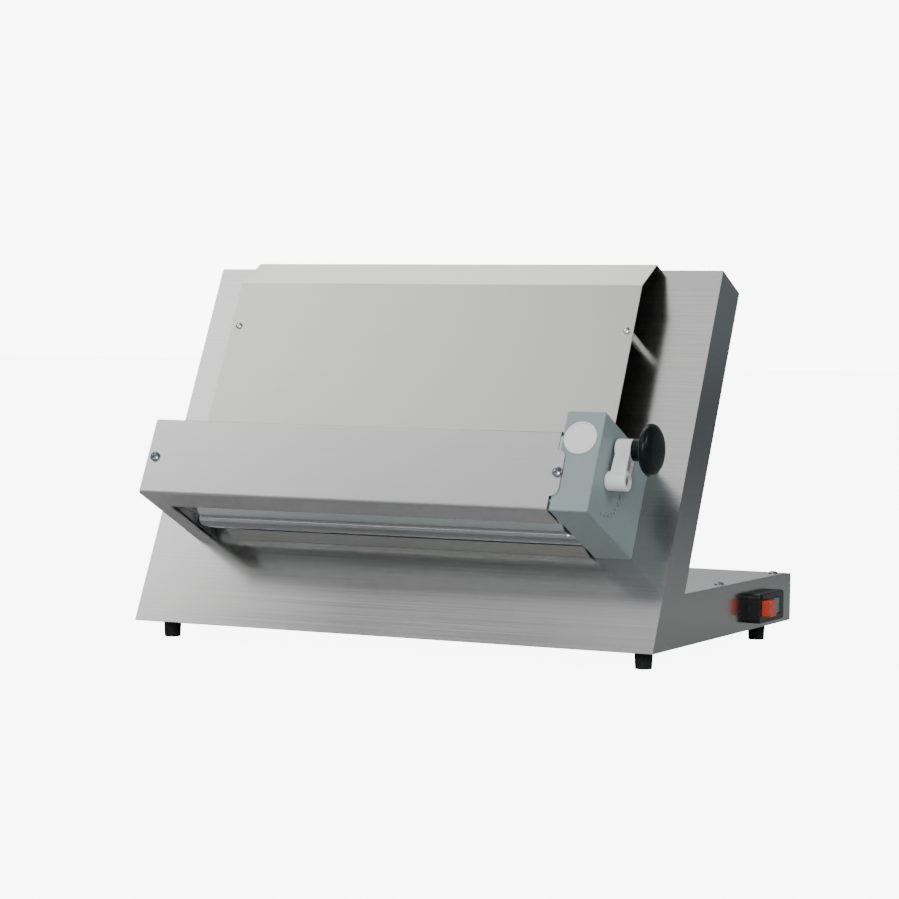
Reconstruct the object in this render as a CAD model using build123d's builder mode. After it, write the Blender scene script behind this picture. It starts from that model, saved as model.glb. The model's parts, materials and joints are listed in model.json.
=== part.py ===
from build123d import *
from math import atan2, cos, degrees, pi, radians, sin, sqrt, tan
import os

# Countertop dough sheeter. Dough slides down the feed plate, passes between two driven rollers in the
# head and leaves below them onto the leaning front panel. All sizes are millimetres.
# +Z is up, the front faces -Y. "n" is the distance out from the leaning panel and "s" the distance up it.

# ---- driving sizes -------------------------------------------------------------------------------
WIDTH = 680.0            # across the body
LEAN = 25.0              # degrees the front panel leans back
PANEL_LENGTH = 477.2     # up the slope
PANEL_DEPTH = 61.0       # of the leaning box, across its thickness
BASE_DEPTH = 460.4
BASE_HEIGHT = 58.8       # above the feet
FOOT_HEIGHT = 22.2
SHEET = 1.5              # stainless sheet of the casing
FOLD_RADIUS = 2.5        # outside of a folded edge
COVER_SHEET = 2.0        # base cover plate
COVER_PROUD = 1.0        # its top above the side sheets
COVER_INSET = 2.5        # from each side
COVER_REAR_GAP = 10.0
COVER_SCREW_IN = 12.0    # base cover screws from each side
COVER_SCREW_FRONT = 237.0
COVER_SCREW_REAR = 33.4  # from the rear
FLANGE = 15.0            # inward flanges that covers are screwed to

HEAD_FRONT = 143.5       # n of the head's front face
HEAD_LOW = 111.0         # s of its underside
HEAD_TOP = 206.3         # s of the cover's top edge
HEAD_LEFT = -283.5
COVER_RIGHT = 244.4
TONGUE_RIGHT = 254.1     # the cover's tongue, screwed over the gearbox
TONGUE_LOW, TONGUE_HIGH = 128.4, 183.6
TONGUE_RADIUS = 9.0
COVER_LIP = 41.5         # underside flange of the cover
COVER_TOP_LIP = 12.0
END_WIDTH = 21.0         # closed strip at the head's left end
BRACKET_N = 24.6         # seam between the cover and the bracket behind it
GEARBOX_LEFT, GEARBOX_RIGHT = 246.7, 293.2
GEARBOX_TOP = 231.0
GEARBOX_WALL = 2.5

ROLLER_RADIUS = 25.0
JOURNAL_RADIUS = 8.0
REAR_N, REAR_S = 28.0, 140.8
FRONT_N, FRONT_S = 80.0, 132.4
REAR_ROLLER_X = (-263.0, 244.5)
FRONT_ROLLER_X = (-231.0, 244.5)
GAP_TRAVEL = 3.4         # how far the front roller moves out
RUNNING = 0.05           # radial clearance of a journal in its bush
CLEAR = 0.35             # between pieces that move past each other
BUSH_WALL = 3.0

GEAR_X = (266.0, 278.0)
MODULE = 2.0
ROLLER_TEETH = 16
IDLER_TEETH = 13
JACK_TEETH = 33
TOOTH_HEIGHT_OUT = 2.4   # beyond the pitch circle
TOOTH_HEIGHT_IN = 3.4    # long teeth stay in mesh as the gap changes
TOOTH_SHARE = 0.38       # of the pitch, at the pitch circle
IDLER_S = 161.0
JACK_N = -20.0
IDLER_AXLE = 4.0

PIVOT_N, PIVOT_S = 105.4, 163.8
ECCENTRICITY = GAP_TRAVEL / 2
SHAFT_RADIUS = 7.0
LOBE_RADIUS = 9.5
YOKE_SLACK = 0.85        # the lobe's play in its slot
TIE_N, TIE_S = 112.0, 130.5 # bar that joins the two carrier arms
TIE_RADIUS = 5.0
CARRIER_ROOM = 9.0       # along x, for an arm beside its plate
LEVER_REST = 97.0        # degrees from n towards s
INDEX_STEP = 14.5
INDEX_COUNT = 13
INDEX_RADIUS = 41.0
LEVER_GAP = 0.6

MOTOR_RADIUS = 35.0
MOTOR_CLEAR = 1.8
JACK_PULLEY_RADIUS = 14.5
MOTOR_PULLEY_RADIUS = 13.0
BELT_X = (285.0, 297.0)
BELT_THICKNESS = 2.4

FEED_N = 47.3            # outer face of the feed plate
FEED_X = (-276.0, 262.5)
FEED_FOLD = 434.2
FEED_LIP = (16.5, 476.3)
FEED_LOW = 166.0

SWITCH_Y = (306.0, 393.0)
SWITCH_Z = (30.5, 66.5)  # above the floor
SWITCH_DEPTH = 15.0
GLAND_PROUD = 14.0       # cord gland, out of the rear wall
STOP_Y = (314.5, 337.0)
START_Y = (357.0, 379.5)
BUTTON_HEIGHT = 20.0
STOP_PROUD = 11.0

SCREW_HEAD = 11.8
SCREW_HEAD_HEIGHT = 3.6
SCREW_SHANK = 3.0        # radius

# ---- frame -----------------------------------------------------------------------------------------
A = radians(LEAN)
OUT = Vector(0, -cos(A), sin(A))
UP_SLOPE = Vector(0, sin(A), cos(A))
GEARBOX_ROUND = 2.0
HEAD_FRONT_Y = ((HEAD_LOW + GEARBOX_ROUND) * sin(A) - (HEAD_FRONT - GEARBOX_ROUND) * cos(A)
                - GEARBOX_ROUND)
SWITCH_FACE = WIDTH / 2 + SWITCH_DEPTH
CENTRE_X = (SWITCH_FACE + STOP_PROUD - WIDTH / 2) / 2
CENTRE_Y = (BASE_DEPTH + GLAND_PROUD + HEAD_FRONT_Y) / 2
INNER_X = WIDTH / 2 - SHEET
# where the back of the leaning box meets the base top
CORNER_Y = (PANEL_DEPTH + BASE_HEIGHT * sin(A)) / cos(A)
CORNER_S = CORNER_Y * sin(A) + BASE_HEIGHT * cos(A)
COVER_Z = BASE_HEIGHT + COVER_PROUD - COVER_SHEET


def at(n, s):
    """Place in the (y, z) section, measured from the panel's lower front edge."""
    return (s * sin(A) - n * cos(A), s * cos(A) + n * sin(A))


def section(x):
    """Plane across the body at x: drawn as (y, z), growing towards +X."""
    return Plane(origin=(x - CENTRE_X, -CENTRE_Y, FOOT_HEIGHT), x_dir=(0, 1, 0), z_dir=(1, 0, 0))


def head_section(x):
    """Plane across the head at x: drawn as (n, s), growing towards -X."""
    return Plane(origin=(x - CENTRE_X, -CENTRE_Y, FOOT_HEIGHT), x_dir=OUT, z_dir=(-1, 0, 0))


def slope(n):
    """Plane parallel to the panel, n outside it: drawn as (x, s), growing outwards."""
    return Plane(origin=Vector(-CENTRE_X, -CENTRE_Y, FOOT_HEIGHT) + OUT * n, x_dir=(1, 0, 0), z_dir=OUT)


def level(z):
    """Level plane at z above the floor: drawn as (x, y)."""
    return Plane(origin=(-CENTRE_X, -CENTRE_Y, z), x_dir=(1, 0, 0), z_dir=(0, 0, 1))


def rod(x0, x1, n, s, radius, mode=Mode.ADD):
    """Round bar along X between x0 and x1, centred on (n, s)."""
    with BuildSketch(head_section(x1)) as end:
        with Locations((n, s)):
            Circle(radius)
    extrude(end.sketch, amount=x1 - x0, mode=mode)


def slab(plane, u0, u1, v0, v1, thickness, mode=Mode.ADD):
    """Rectangular plate drawn on a plane from (u0, v0) to (u1, v1)."""
    with BuildSketch(plane) as face:
        with Locations(((u0 + u1) / 2, (v0 + v1) / 2)):
            Rectangle(u1 - u0, v1 - v0)
    extrude(face.sketch, amount=thickness, mode=mode)


def outline(plane, points, thickness, mode=Mode.ADD):
    """Plate with a straight-sided outline drawn on a plane."""
    with BuildSketch(plane) as face:
        with BuildLine():
            Polyline(*points, close=True)
        make_face()
    extrude(face.sketch, amount=thickness, mode=mode)


def disc(plane, u, v, radius, thickness, mode=Mode.ADD):
    with BuildSketch(plane) as face:
        with Locations((u, v)):
            Circle(radius)
    extrude(face.sketch, amount=thickness, mode=mode)


def save(piece, name):
    piece.part.label = name
    export_step(piece.part, f"parts/{name}.step")


os.makedirs("parts", exist_ok=True)

# ---- body ------------------------------------------------------------------------------------------
# Front sheet, top cap and both L-shaped sides are folded from one sheet. Flanges at the back take the
# screws of the back panel.
corner = (CORNER_Y, BASE_HEIGHT)
ROLLER_PITCH = MODULE * ROLLER_TEETH / 2
IDLER_PITCH = MODULE * IDLER_TEETH / 2
JACK_PITCH = MODULE * JACK_TEETH / 2
JACK_S = REAR_S + sqrt((ROLLER_PITCH + JACK_PITCH) ** 2 - (REAR_N - JACK_N) ** 2)
IDLER_A_N = REAR_N + sqrt((ROLLER_PITCH + IDLER_PITCH) ** 2 - (IDLER_S - REAR_S) ** 2)
IDLER_B_N = FRONT_N - sqrt((ROLLER_PITCH + IDLER_PITCH) ** 2 - (IDLER_S - FRONT_S) ** 2)
SLOT_HALF = sqrt((JACK_PITCH + TOOTH_HEIGHT_OUT + 1) ** 2 - JACK_N ** 2) + 1.5
STANDOFF_X = (FEED_X[0] + 10.8, FEED_X[1] - 8.1)
STANDOFF_S = 375.3
BACK_SCREWS = [(side * (INNER_X - FLANGE / 2), s) for side in (-1, 1) for s in (140, 285, 440)]

with BuildPart() as body_shell:
    outline(section(-WIDTH / 2),
            [(0, 0), at(0, PANEL_LENGTH), at(-PANEL_DEPTH, PANEL_LENGTH), corner,
             (BASE_DEPTH, BASE_HEIGHT), (BASE_DEPTH, 0)], WIDTH)
    front_face = body_shell.faces().sort_by(Axis((0, 0, 0), OUT))[-1]
    fillet(front_face.edges().sort_by(Axis.Z)[1:], FOLD_RADIUS)
    outline(section(-INNER_X),
            [at(-SHEET, -20), at(-SHEET, PANEL_LENGTH - SHEET), at(-PANEL_DEPTH - 9, PANEL_LENGTH - SHEET),
             at(-PANEL_DEPTH - 9, CORNER_S + 20), (BASE_DEPTH + 9, BASE_HEIGHT + 9), (BASE_DEPTH + 9, -20)],
            2 * INNER_X, mode=Mode.SUBTRACT)
    for left, right in ((-INNER_X - SHEET / 2, -INNER_X + FLANGE), (INNER_X - FLANGE, INNER_X + SHEET / 2)):
        slab(slope(-PANEL_DEPTH + SHEET), left, right, CORNER_S + 12, PANEL_LENGTH - SHEET / 2, SHEET)
    for x, s in BACK_SCREWS:
        disc(slope(-PANEL_DEPTH), x, s, SCREW_SHANK, 2 * SHEET + 1, mode=Mode.SUBTRACT)
    # slot through which the jackshaft gear meets the roller gear
    slab(slope(-SHEET - 1), GEAR_X[0] - 2, GEAR_X[1] + 2, JACK_S - SLOT_HALF, JACK_S + SLOT_HALF,
         SHEET + 2, mode=Mode.SUBTRACT)
    # opening for the switch
    slab(section(INNER_X - 1), SWITCH_Y[0] + 5, SWITCH_Y[1] - 5, SWITCH_Z[0] + 5 - FOOT_HEIGHT,
         SWITCH_Z[1] - 5 - FOOT_HEIGHT, SHEET + 2, mode=Mode.SUBTRACT)
    for x in STANDOFF_X:
        disc(slope(-SHEET - 1), x, STANDOFF_S, 2.05, SHEET + 2, mode=Mode.SUBTRACT)
save(body_shell, "body_shell")

# Back panel, with a flange that goes under the front edge of the base cover
LEDGE_Z = COVER_Z - SHEET
BACK_SIDE_GAP = 0.2
back_foot_y = CORNER_Y - (BASE_HEIGHT - COVER_Z) * tan(A)
BACK_FLANGE_Y = back_foot_y + 24
BACK_TOP = PANEL_LENGTH - SHEET - BACK_SIDE_GAP
with BuildPart() as back_panel:
    inner_foot_y = (PANEL_DEPTH - SHEET + LEDGE_Z * sin(A)) / cos(A)
    outline(section(-INNER_X + BACK_SIDE_GAP),
            [at(-PANEL_DEPTH, BACK_TOP), (back_foot_y, COVER_Z), (BACK_FLANGE_Y, COVER_Z),
             (BACK_FLANGE_Y, LEDGE_Z), (inner_foot_y, LEDGE_Z), at(-PANEL_DEPTH + SHEET, BACK_TOP)],
            2 * (INNER_X - BACK_SIDE_GAP))
    for x, s in BACK_SCREWS:
        disc(slope(-PANEL_DEPTH - 1), x, s, SCREW_SHANK, SHEET + 2, mode=Mode.SUBTRACT)
save(back_panel, "back_panel")


def pan_screw(plane, u, v, head, height, shank, length, slot=True):
    """Pan-head screw with a cross recess: its head stands on the plane, its shank goes in behind it."""
    disc(plane, u, v, head / 2, height * 0.55)
    with BuildSketch(plane.offset(height * 0.55)) as low:
        with Locations((u, v)):
            Circle(head / 2)
    with BuildSketch(plane.offset(height)) as high:
        with Locations((u, v)):
            Circle(head / 2 * 0.72)
    loft(sections=[low.sketch, high.sketch])
    disc(plane.offset(-length), u, v, shank, length)
    if slot:
        with BuildSketch(plane.offset(height * 0.45)) as cross:
            with Locations((u, v)):
                Rectangle(head * 0.48, head * 0.12)
                Rectangle(head * 0.12, head * 0.48)
        extrude(cross.sketch, amount=height, mode=Mode.SUBTRACT)


with BuildPart() as back_panel_screws:
    for x, s in BACK_SCREWS:
        # seen from behind, so the plane faces into the room
        back = Plane(origin=slope(-PANEL_DEPTH).origin, x_dir=(1, 0, 0), z_dir=-OUT)
        pan_screw(back, x, -s, SCREW_HEAD * 0.8, 2.6, SCREW_SHANK - 0.05, 6)
save(back_panel_screws, "back_panel_screws")

# Base pan: floor, rear wall and side upstands folded from one sheet, with ledges under the cover
GLAND_X = -250.0
GLAND_Z = 30.0
GLAND_RADIUS = 8.0
REAR_LIP_Y = BASE_DEPTH - COVER_REAR_GAP
FOOT_X, FOOT_Y = 312.0, (42.7, 414.0)
FEET = [(side * FOOT_X, y) for side in (-1, 1) for y in FOOT_Y]
PAN_FRONT = SHEET / cos(A) + 0.4
BASE_SCREWS = [(side * (WIDTH / 2 - COVER_SCREW_IN), y)
               for side in (-1, 1) for y in (COVER_SCREW_FRONT, BASE_DEPTH - COVER_SCREW_REAR)]
with BuildPart() as base_pan:
    outline(section(-INNER_X),
            [(PAN_FRONT, 0), (BASE_DEPTH, 0), (BASE_DEPTH, BASE_HEIGHT), (REAR_LIP_Y + 0.5, BASE_HEIGHT),
             (REAR_LIP_Y + 0.5, COVER_Z), (REAR_LIP_Y - FLANGE, COVER_Z), (REAR_LIP_Y - FLANGE, LEDGE_Z),
             (REAR_LIP_Y + 2, LEDGE_Z), (REAR_LIP_Y + 2, BASE_HEIGHT - SHEET),
             (BASE_DEPTH - SHEET, BASE_HEIGHT - SHEET), (BASE_DEPTH - SHEET, SHEET),
             (PAN_FRONT + SHEET * tan(A), SHEET)], 2 * INNER_X)
    for side in (-1, 1):
        inner = sorted((side * INNER_X, side * (INNER_X - SHEET)))
        ledge = sorted((side * INNER_X, side * (INNER_X - FLANGE - 4)))
        slab(level(FOOT_HEIGHT), *inner, PAN_FRONT + 40, BASE_DEPTH - SHEET / 2, LEDGE_Z)
        slab(level(FOOT_HEIGHT + LEDGE_Z), *ledge, BACK_FLANGE_Y + 1, BASE_DEPTH - SHEET / 2, SHEET)
    # way in for the switch at the right side
    slab(section(INNER_X - SHEET - 1), SWITCH_Y[0] + 5, SWITCH_Y[1] - 5, SWITCH_Z[0] + 5 - FOOT_HEIGHT,
         SWITCH_Z[1] - 5 - FOOT_HEIGHT, SHEET + 2, mode=Mode.SUBTRACT)
    rear = Plane(origin=(-CENTRE_X, BASE_DEPTH - CENTRE_Y + 1, FOOT_HEIGHT), x_dir=(1, 0, 0), z_dir=(0, -1, 0))
    disc(rear, GLAND_X, GLAND_Z, GLAND_RADIUS, SHEET + 2, mode=Mode.SUBTRACT)
    for x, y in FEET:
        disc(level(FOOT_HEIGHT - 1), x, y, SCREW_SHANK, SHEET + 2, mode=Mode.SUBTRACT)
    for x, y in BASE_SCREWS:
        disc(level(FOOT_HEIGHT + LEDGE_Z - 1), x, y, SCREW_SHANK, SHEET + 2, mode=Mode.SUBTRACT)
save(base_pan, "base_pan")

with BuildPart() as base_cover:
    slab(level(FOOT_HEIGHT + COVER_Z), -WIDTH / 2 + COVER_INSET, WIDTH / 2 - COVER_INSET, CORNER_Y + 1.5,
         REAR_LIP_Y, COVER_SHEET)
    for x, y in BASE_SCREWS:
        disc(level(FOOT_HEIGHT + COVER_Z - 1), x, y, SCREW_SHANK, COVER_SHEET + 2, mode=Mode.SUBTRACT)
save(base_cover, "base_cover")

with BuildPart() as base_cover_screws:
    for x, y in BASE_SCREWS:
        pan_screw(level(FOOT_HEIGHT + COVER_Z + COVER_SHEET), x, y, SCREW_HEAD, SCREW_HEAD_HEIGHT,
                  SCREW_SHANK - 0.05, 8)
save(base_cover_screws, "base_cover_screws")

# Rubber feet, each with a recess underneath for its screw
FOOT_TOP, FOOT_BOTTOM = 21.6, 19.5
FOOT_RECESS = 12.0
with BuildPart() as rubber_feet:
    for x, y in FEET:
        with BuildSketch(level(0)) as low:
            with Locations((x, y)):
                Circle(FOOT_BOTTOM / 2)
        with BuildSketch(level(FOOT_HEIGHT)) as high:
            with Locations((x, y)):
                Circle(FOOT_TOP / 2)
        loft(sections=[low.sketch, high.sketch])
        disc(level(-1), x, y, 5.6, FOOT_RECESS + 1, mode=Mode.SUBTRACT)
        disc(level(1), x, y, SCREW_SHANK, FOOT_HEIGHT, mode=Mode.SUBTRACT)
save(rubber_feet, "rubber_feet")

with BuildPart() as foot_screws:
    for x, y in FEET:
        disc(level(FOOT_RECESS - 4), x, y, 5.0, 4)
        disc(level(FOOT_RECESS - 1), x, y, SCREW_SHANK - 0.05, FOOT_HEIGHT + 8 - FOOT_RECESS + 1)
save(foot_screws, "foot_screws")

# Cord inlet: a nut-shaped gland screwed into the rear wall
with BuildPart() as cable_gland:
    outside = Plane(origin=(-CENTRE_X, BASE_DEPTH - CENTRE_Y, FOOT_HEIGHT), x_dir=(1, 0, 0), z_dir=(0, -1, 0))
    disc(outside.offset(-4), GLAND_X, GLAND_Z, 12, 4)
    disc(outside.offset(-GLAND_PROUD), GLAND_X, GLAND_Z, 9.5, GLAND_PROUD - 3.5)
    disc(outside.offset(-1), GLAND_X, GLAND_Z, GLAND_RADIUS - 0.05, 14)
    disc(outside.offset(SHEET), GLAND_X, GLAND_Z, 11, 5)
    disc(outside.offset(-15), GLAND_X, GLAND_Z, 4, 40, mode=Mode.SUBTRACT)
save(cable_gland, "cable_gland")

# ---- head ------------------------------------------------------------------------------------------
# Front cover folded from one sheet, with a left end wall and a tongue screwed over the gearbox
HEAD_SHEET = 1.5
COVER_SCREWS = [(-273.0, 157.4), (249.0, 156.7)]
with BuildPart() as head_cover:
    span = COVER_RIGHT - HEAD_LEFT
    outline(head_section(COVER_RIGHT),
            [(HEAD_FRONT, HEAD_LOW), (HEAD_FRONT, HEAD_TOP), (HEAD_FRONT - COVER_TOP_LIP, HEAD_TOP),
             (HEAD_FRONT - COVER_TOP_LIP, HEAD_TOP - HEAD_SHEET), (HEAD_FRONT - HEAD_SHEET, HEAD_TOP - HEAD_SHEET),
             (HEAD_FRONT - HEAD_SHEET, HEAD_LOW + HEAD_SHEET), (HEAD_FRONT - COVER_LIP, HEAD_LOW + HEAD_SHEET),
             (HEAD_FRONT - COVER_LIP, HEAD_LOW)], span)
    front_edges = head_cover.faces().sort_by(Axis((0, 0, 0), OUT))[-1].edges().filter_by(Axis.X)
    fillet(front_edges.sort_by(Axis.Z)[0], 3.5)
    fillet(head_cover.faces().sort_by(Axis((0, 0, 0), OUT))[-1].edges().filter_by(Axis.X).sort_by(Axis.Z)[-1], 2.5)
    # left end wall and the strips that close the end below and above
    end_x = HEAD_LEFT + HEAD_SHEET
    slab(head_section(end_x), BRACKET_N + 0.3, HEAD_FRONT - 3.5, HEAD_LOW + 0.01, HEAD_TOP - 0.01, HEAD_SHEET)
    slab(head_section(end_x), BRACKET_N + 0.3, HEAD_FRONT - 0.8, HEAD_LOW + 3.5, HEAD_TOP - 3, HEAD_SHEET)
    for low in (HEAD_LOW, HEAD_TOP - HEAD_SHEET):
        slab(head_section(HEAD_LEFT + END_WIDTH), BRACKET_N + 0.3, HEAD_FRONT - 10, low, low + HEAD_SHEET,
             END_WIDTH)
    # tongue over the gearbox
    with BuildSketch(slope(HEAD_FRONT - HEAD_SHEET)) as tongue:
        with Locations(((COVER_RIGHT - 12 + TONGUE_RIGHT) / 2, (TONGUE_LOW + TONGUE_HIGH) / 2)):
            RectangleRounded(TONGUE_RIGHT - COVER_RIGHT + 12, TONGUE_HIGH - TONGUE_LOW, TONGUE_RADIUS)
    extrude(tongue.sketch, amount=HEAD_SHEET)
    for x, s in COVER_SCREWS:
        disc(slope(HEAD_FRONT - 4), x, s, SCREW_SHANK, 8, mode=Mode.SUBTRACT)
save(head_cover, "head_cover")

with BuildPart() as head_cover_screws:
    for x, s in COVER_SCREWS:
        pan_screw(slope(HEAD_FRONT), x, s, SCREW_HEAD, SCREW_HEAD_HEIGHT, SCREW_SHANK - 0.05, 11)
save(head_cover_screws, "head_cover_screws")

# Folded bracket that ties the left end of the head to the panel, with a nut post for the cover screw
PLATE_LEFT_X = (-268.6, -263.2)
left_screw_x, left_screw_s = COVER_SCREWS[0]
with BuildPart() as left_bracket:
    bracket_right = HEAD_LEFT + END_WIDTH
    slab(head_section(bracket_right), 0, BRACKET_N, HEAD_LOW, HEAD_TOP, END_WIDTH + 1)
    slab(head_section(bracket_right + 1), -1, BRACKET_N - SHEET, HEAD_LOW + SHEET, HEAD_TOP - SHEET,
         END_WIDTH + 0.5, mode=Mode.SUBTRACT)
    slab(head_section(bracket_right + 1), BRACKET_N - SHEET - 1, BRACKET_N + 1, HEAD_LOW + SHEET,
         HEAD_TOP - SHEET, bracket_right + 1.3 - PLATE_LEFT_X[0], mode=Mode.SUBTRACT)
    post_right = PLATE_LEFT_X[0] - 0.3
    slab(head_section(post_right), BRACKET_N - SHEET, HEAD_FRONT - HEAD_SHEET, left_screw_s - 7,
         left_screw_s + 7, 2 * (post_right - left_screw_x))
    disc(slope(HEAD_FRONT - 20), left_screw_x, left_screw_s, SCREW_SHANK, 30, mode=Mode.SUBTRACT)
save(left_bracket, "left_bracket")

# Gearbox housing: moulded shell open towards the panel
BOX_INSIDE = GEARBOX_LEFT + GEARBOX_WALL
PIVOT_BUSH_RADIUS = SHAFT_RADIUS + RUNNING + BUSH_WALL
REAR_BUSH_RADIUS = JOURNAL_RADIUS + RUNNING + BUSH_WALL
WINDOW = (FRONT_N - JOURNAL_RADIUS - 5, 131.0, 117.0, 150.0)
with BuildPart() as gearbox_housing:
    slab(head_section(GEARBOX_RIGHT), 0, HEAD_FRONT, HEAD_LOW, GEARBOX_TOP, GEARBOX_RIGHT - GEARBOX_LEFT)
    round_edges = gearbox_housing.edges().group_by(Axis((0, 0, 0), OUT))
    fillet([edge for group in round_edges[1:] for edge in group], GEARBOX_ROUND)
    slab(head_section(GEARBOX_RIGHT - GEARBOX_WALL), -1, HEAD_FRONT - GEARBOX_WALL, HEAD_LOW + GEARBOX_WALL,
         GEARBOX_TOP - GEARBOX_WALL, GEARBOX_RIGHT - GEARBOX_LEFT - 2 * GEARBOX_WALL, mode=Mode.SUBTRACT)
    # recess for the cover's tongue, backed by a boss that takes its screw
    with BuildSketch(slope(HEAD_FRONT - HEAD_SHEET - 8)) as boss:
        with Locations((BOX_INSIDE + 5, (TONGUE_LOW + TONGUE_HIGH) / 2)):
            Rectangle(12, TONGUE_HIGH - TONGUE_LOW + 10)
    extrude(boss.sketch, amount=8)
    with BuildSketch(slope(HEAD_FRONT - HEAD_SHEET)) as recess:
        with Locations(((COVER_RIGHT - 14 + TONGUE_RIGHT) / 2, (TONGUE_LOW + TONGUE_HIGH) / 2)):
            RectangleRounded(TONGUE_RIGHT - COVER_RIGHT + 18, TONGUE_HIGH - TONGUE_LOW + 4, TONGUE_RADIUS + 2)
    extrude(recess.sketch, amount=5, mode=Mode.SUBTRACT)
    disc(slope(HEAD_FRONT - 20), *COVER_SCREWS[1], SCREW_SHANK, 30, mode=Mode.SUBTRACT)
    # way in for the roller journals, the tie bar and the eccentric shaft
    rod(GEARBOX_LEFT - 1, BOX_INSIDE + 1, REAR_N, REAR_S, REAR_BUSH_RADIUS + 1, mode=Mode.SUBTRACT)
    slab(head_section(BOX_INSIDE + 1), *WINDOW, GEARBOX_WALL + 2, mode=Mode.SUBTRACT)
    rod(GEARBOX_LEFT - 1, BOX_INSIDE + 1, PIVOT_N, PIVOT_S, PIVOT_BUSH_RADIUS + 1, mode=Mode.SUBTRACT)
    rod(GEARBOX_RIGHT - GEARBOX_WALL - 1, GEARBOX_RIGHT + 1, PIVOT_N, PIVOT_S, PIVOT_BUSH_RADIUS,
        mode=Mode.SUBTRACT)
    # index dimples for the lever's plunger
    for i in range(INDEX_COUNT):
        angle = radians(LEVER_REST + i * INDEX_STEP)
        rod(GEARBOX_RIGHT - 1.2, GEARBOX_RIGHT + 1, PIVOT_N + INDEX_RADIUS * cos(angle),
            PIVOT_S + INDEX_RADIUS * sin(angle), 2.9, mode=Mode.SUBTRACT)
save(gearbox_housing, "gearbox_housing")

BADGE_X, BADGE_S = 268.7, 198.3
with BuildPart() as round_badge:
    disc(slope(HEAD_FRONT), BADGE_X, BADGE_S, 19.5, 2.0)
    disc(slope(HEAD_FRONT + 1.2), BADGE_X, BADGE_S, 17.3, 2, mode=Mode.SUBTRACT)
save(round_badge, "round_badge")

# Bearing plates at both ends carry the rear roller, the eccentric shaft and, in a slot, the front journal.
# A foot on each is screwed to the panel.
PLATE_RIGHT_X = (BOX_INSIDE + 0.2, BOX_INSIDE + 6.2)
PLATE_TOP = 190.0
PLATE_FRONT = 128.0


def bearing_plate(x0, x1, foot0, foot1):
    slab(head_section(x1), 0, PLATE_FRONT, HEAD_LOW + 4, PLATE_TOP, x1 - x0)
    slab(head_section(foot1), 0, 2.0, PLATE_TOP - 20, PLATE_TOP, foot1 - foot0)
    rod(x0 - 1, x1 + 1, REAR_N, REAR_S, REAR_BUSH_RADIUS, mode=Mode.SUBTRACT)
    rod(x0 - 1, x1 + 1, PIVOT_N, PIVOT_S, PIVOT_BUSH_RADIUS, mode=Mode.SUBTRACT)
    with BuildSketch(head_section(x1 + 1)) as slots:
        with Locations((FRONT_N + GAP_TRAVEL / 2, FRONT_S)):
            SlotCenterToCenter(GAP_TRAVEL + 0.8, 2 * (JOURNAL_RADIUS + CLEAR))
        with Locations((TIE_N + GAP_TRAVEL / 2, TIE_S)):
            SlotCenterToCenter(GAP_TRAVEL + 0.8, 2 * (TIE_RADIUS + CLEAR))
    extrude(slots.sketch, amount=x1 - x0 + 2, mode=Mode.SUBTRACT)


with BuildPart() as bearing_plate_left:
    bearing_plate(*PLATE_LEFT_X, PLATE_LEFT_X[0], PLATE_LEFT_X[1] + 12)
save(bearing_plate_left, "bearing_plate_left")

with BuildPart() as bearing_plate_right:
    bearing_plate(*PLATE_RIGHT_X, PLATE_RIGHT_X[0], PLATE_RIGHT_X[1] + 7)
    rod(PLATE_RIGHT_X[0] - 1, PLATE_RIGHT_X[1] + 1, IDLER_A_N, IDLER_S, IDLER_AXLE, mode=Mode.SUBTRACT)
save(bearing_plate_right, "bearing_plate_right")

with BuildPart() as rear_roller_bushes:
    for x0, x1 in (PLATE_LEFT_X, PLATE_RIGHT_X):
        rod(x0, x1, REAR_N, REAR_S, REAR_BUSH_RADIUS)
        rod(x0 - 1, x1 + 1, REAR_N, REAR_S, JOURNAL_RADIUS + RUNNING, mode=Mode.SUBTRACT)
save(rear_roller_bushes, "rear_roller_bushes")

with BuildPart() as eccentric_bushes:
    for x0, x1 in (PLATE_LEFT_X, PLATE_RIGHT_X, (GEARBOX_RIGHT - GEARBOX_WALL - 4, GEARBOX_RIGHT)):
        rod(x0, x1, PIVOT_N, PIVOT_S, PIVOT_BUSH_RADIUS)
        rod(x0 - 1, x1 + 1, PIVOT_N, PIVOT_S, SHAFT_RADIUS + RUNNING, mode=Mode.SUBTRACT)
save(eccentric_bushes, "eccentric_bushes")

# Feed plate: the dough slides down it into the head; its top edge folds back to the panel
FEED_GAP = 0.3
with BuildPart() as feed_plate:
    fold = (FEED_N, FEED_FOLD)
    run = sqrt((FEED_N - FEED_LIP[0]) ** 2 + (FEED_LIP[1] - FEED_FOLD) ** 2)
    slant = ((FEED_N - FEED_LIP[0]) / run, (FEED_LIP[1] - FEED_FOLD) / run)
    inner_fold = (FEED_N - SHEET, FEED_FOLD - SHEET * (1 - slant[1]) / slant[0])
    inner_lip = (FEED_LIP[0] + SHEET * 0.2, FEED_LIP[1] - SHEET)
    outline(head_section(FEED_X[1]),
            [(FEED_N, FEED_LOW), fold, FEED_LIP, (FEED_GAP, FEED_LIP[1]), (FEED_GAP, FEED_LIP[1] - SHEET),
             inner_lip, inner_fold, (FEED_N - SHEET, FEED_LOW)], FEED_X[1] - FEED_X[0])
    # notched narrower where it goes down inside the head
    for x0, x1 in ((FEED_X[0] - 1, PLATE_LEFT_X[1] + 1.5), (COVER_RIGHT, FEED_X[1] + 1)):
        slab(head_section(x1), FEED_N - SHEET - 1, FEED_N + 1, FEED_LOW - 1, GEARBOX_TOP + 2, x1 - x0,
             mode=Mode.SUBTRACT)
    for x in STANDOFF_X:
        disc(slope(FEED_N - 4), x, STANDOFF_S, 2.05, 8, mode=Mode.SUBTRACT)
save(feed_plate, "feed_plate")

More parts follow.
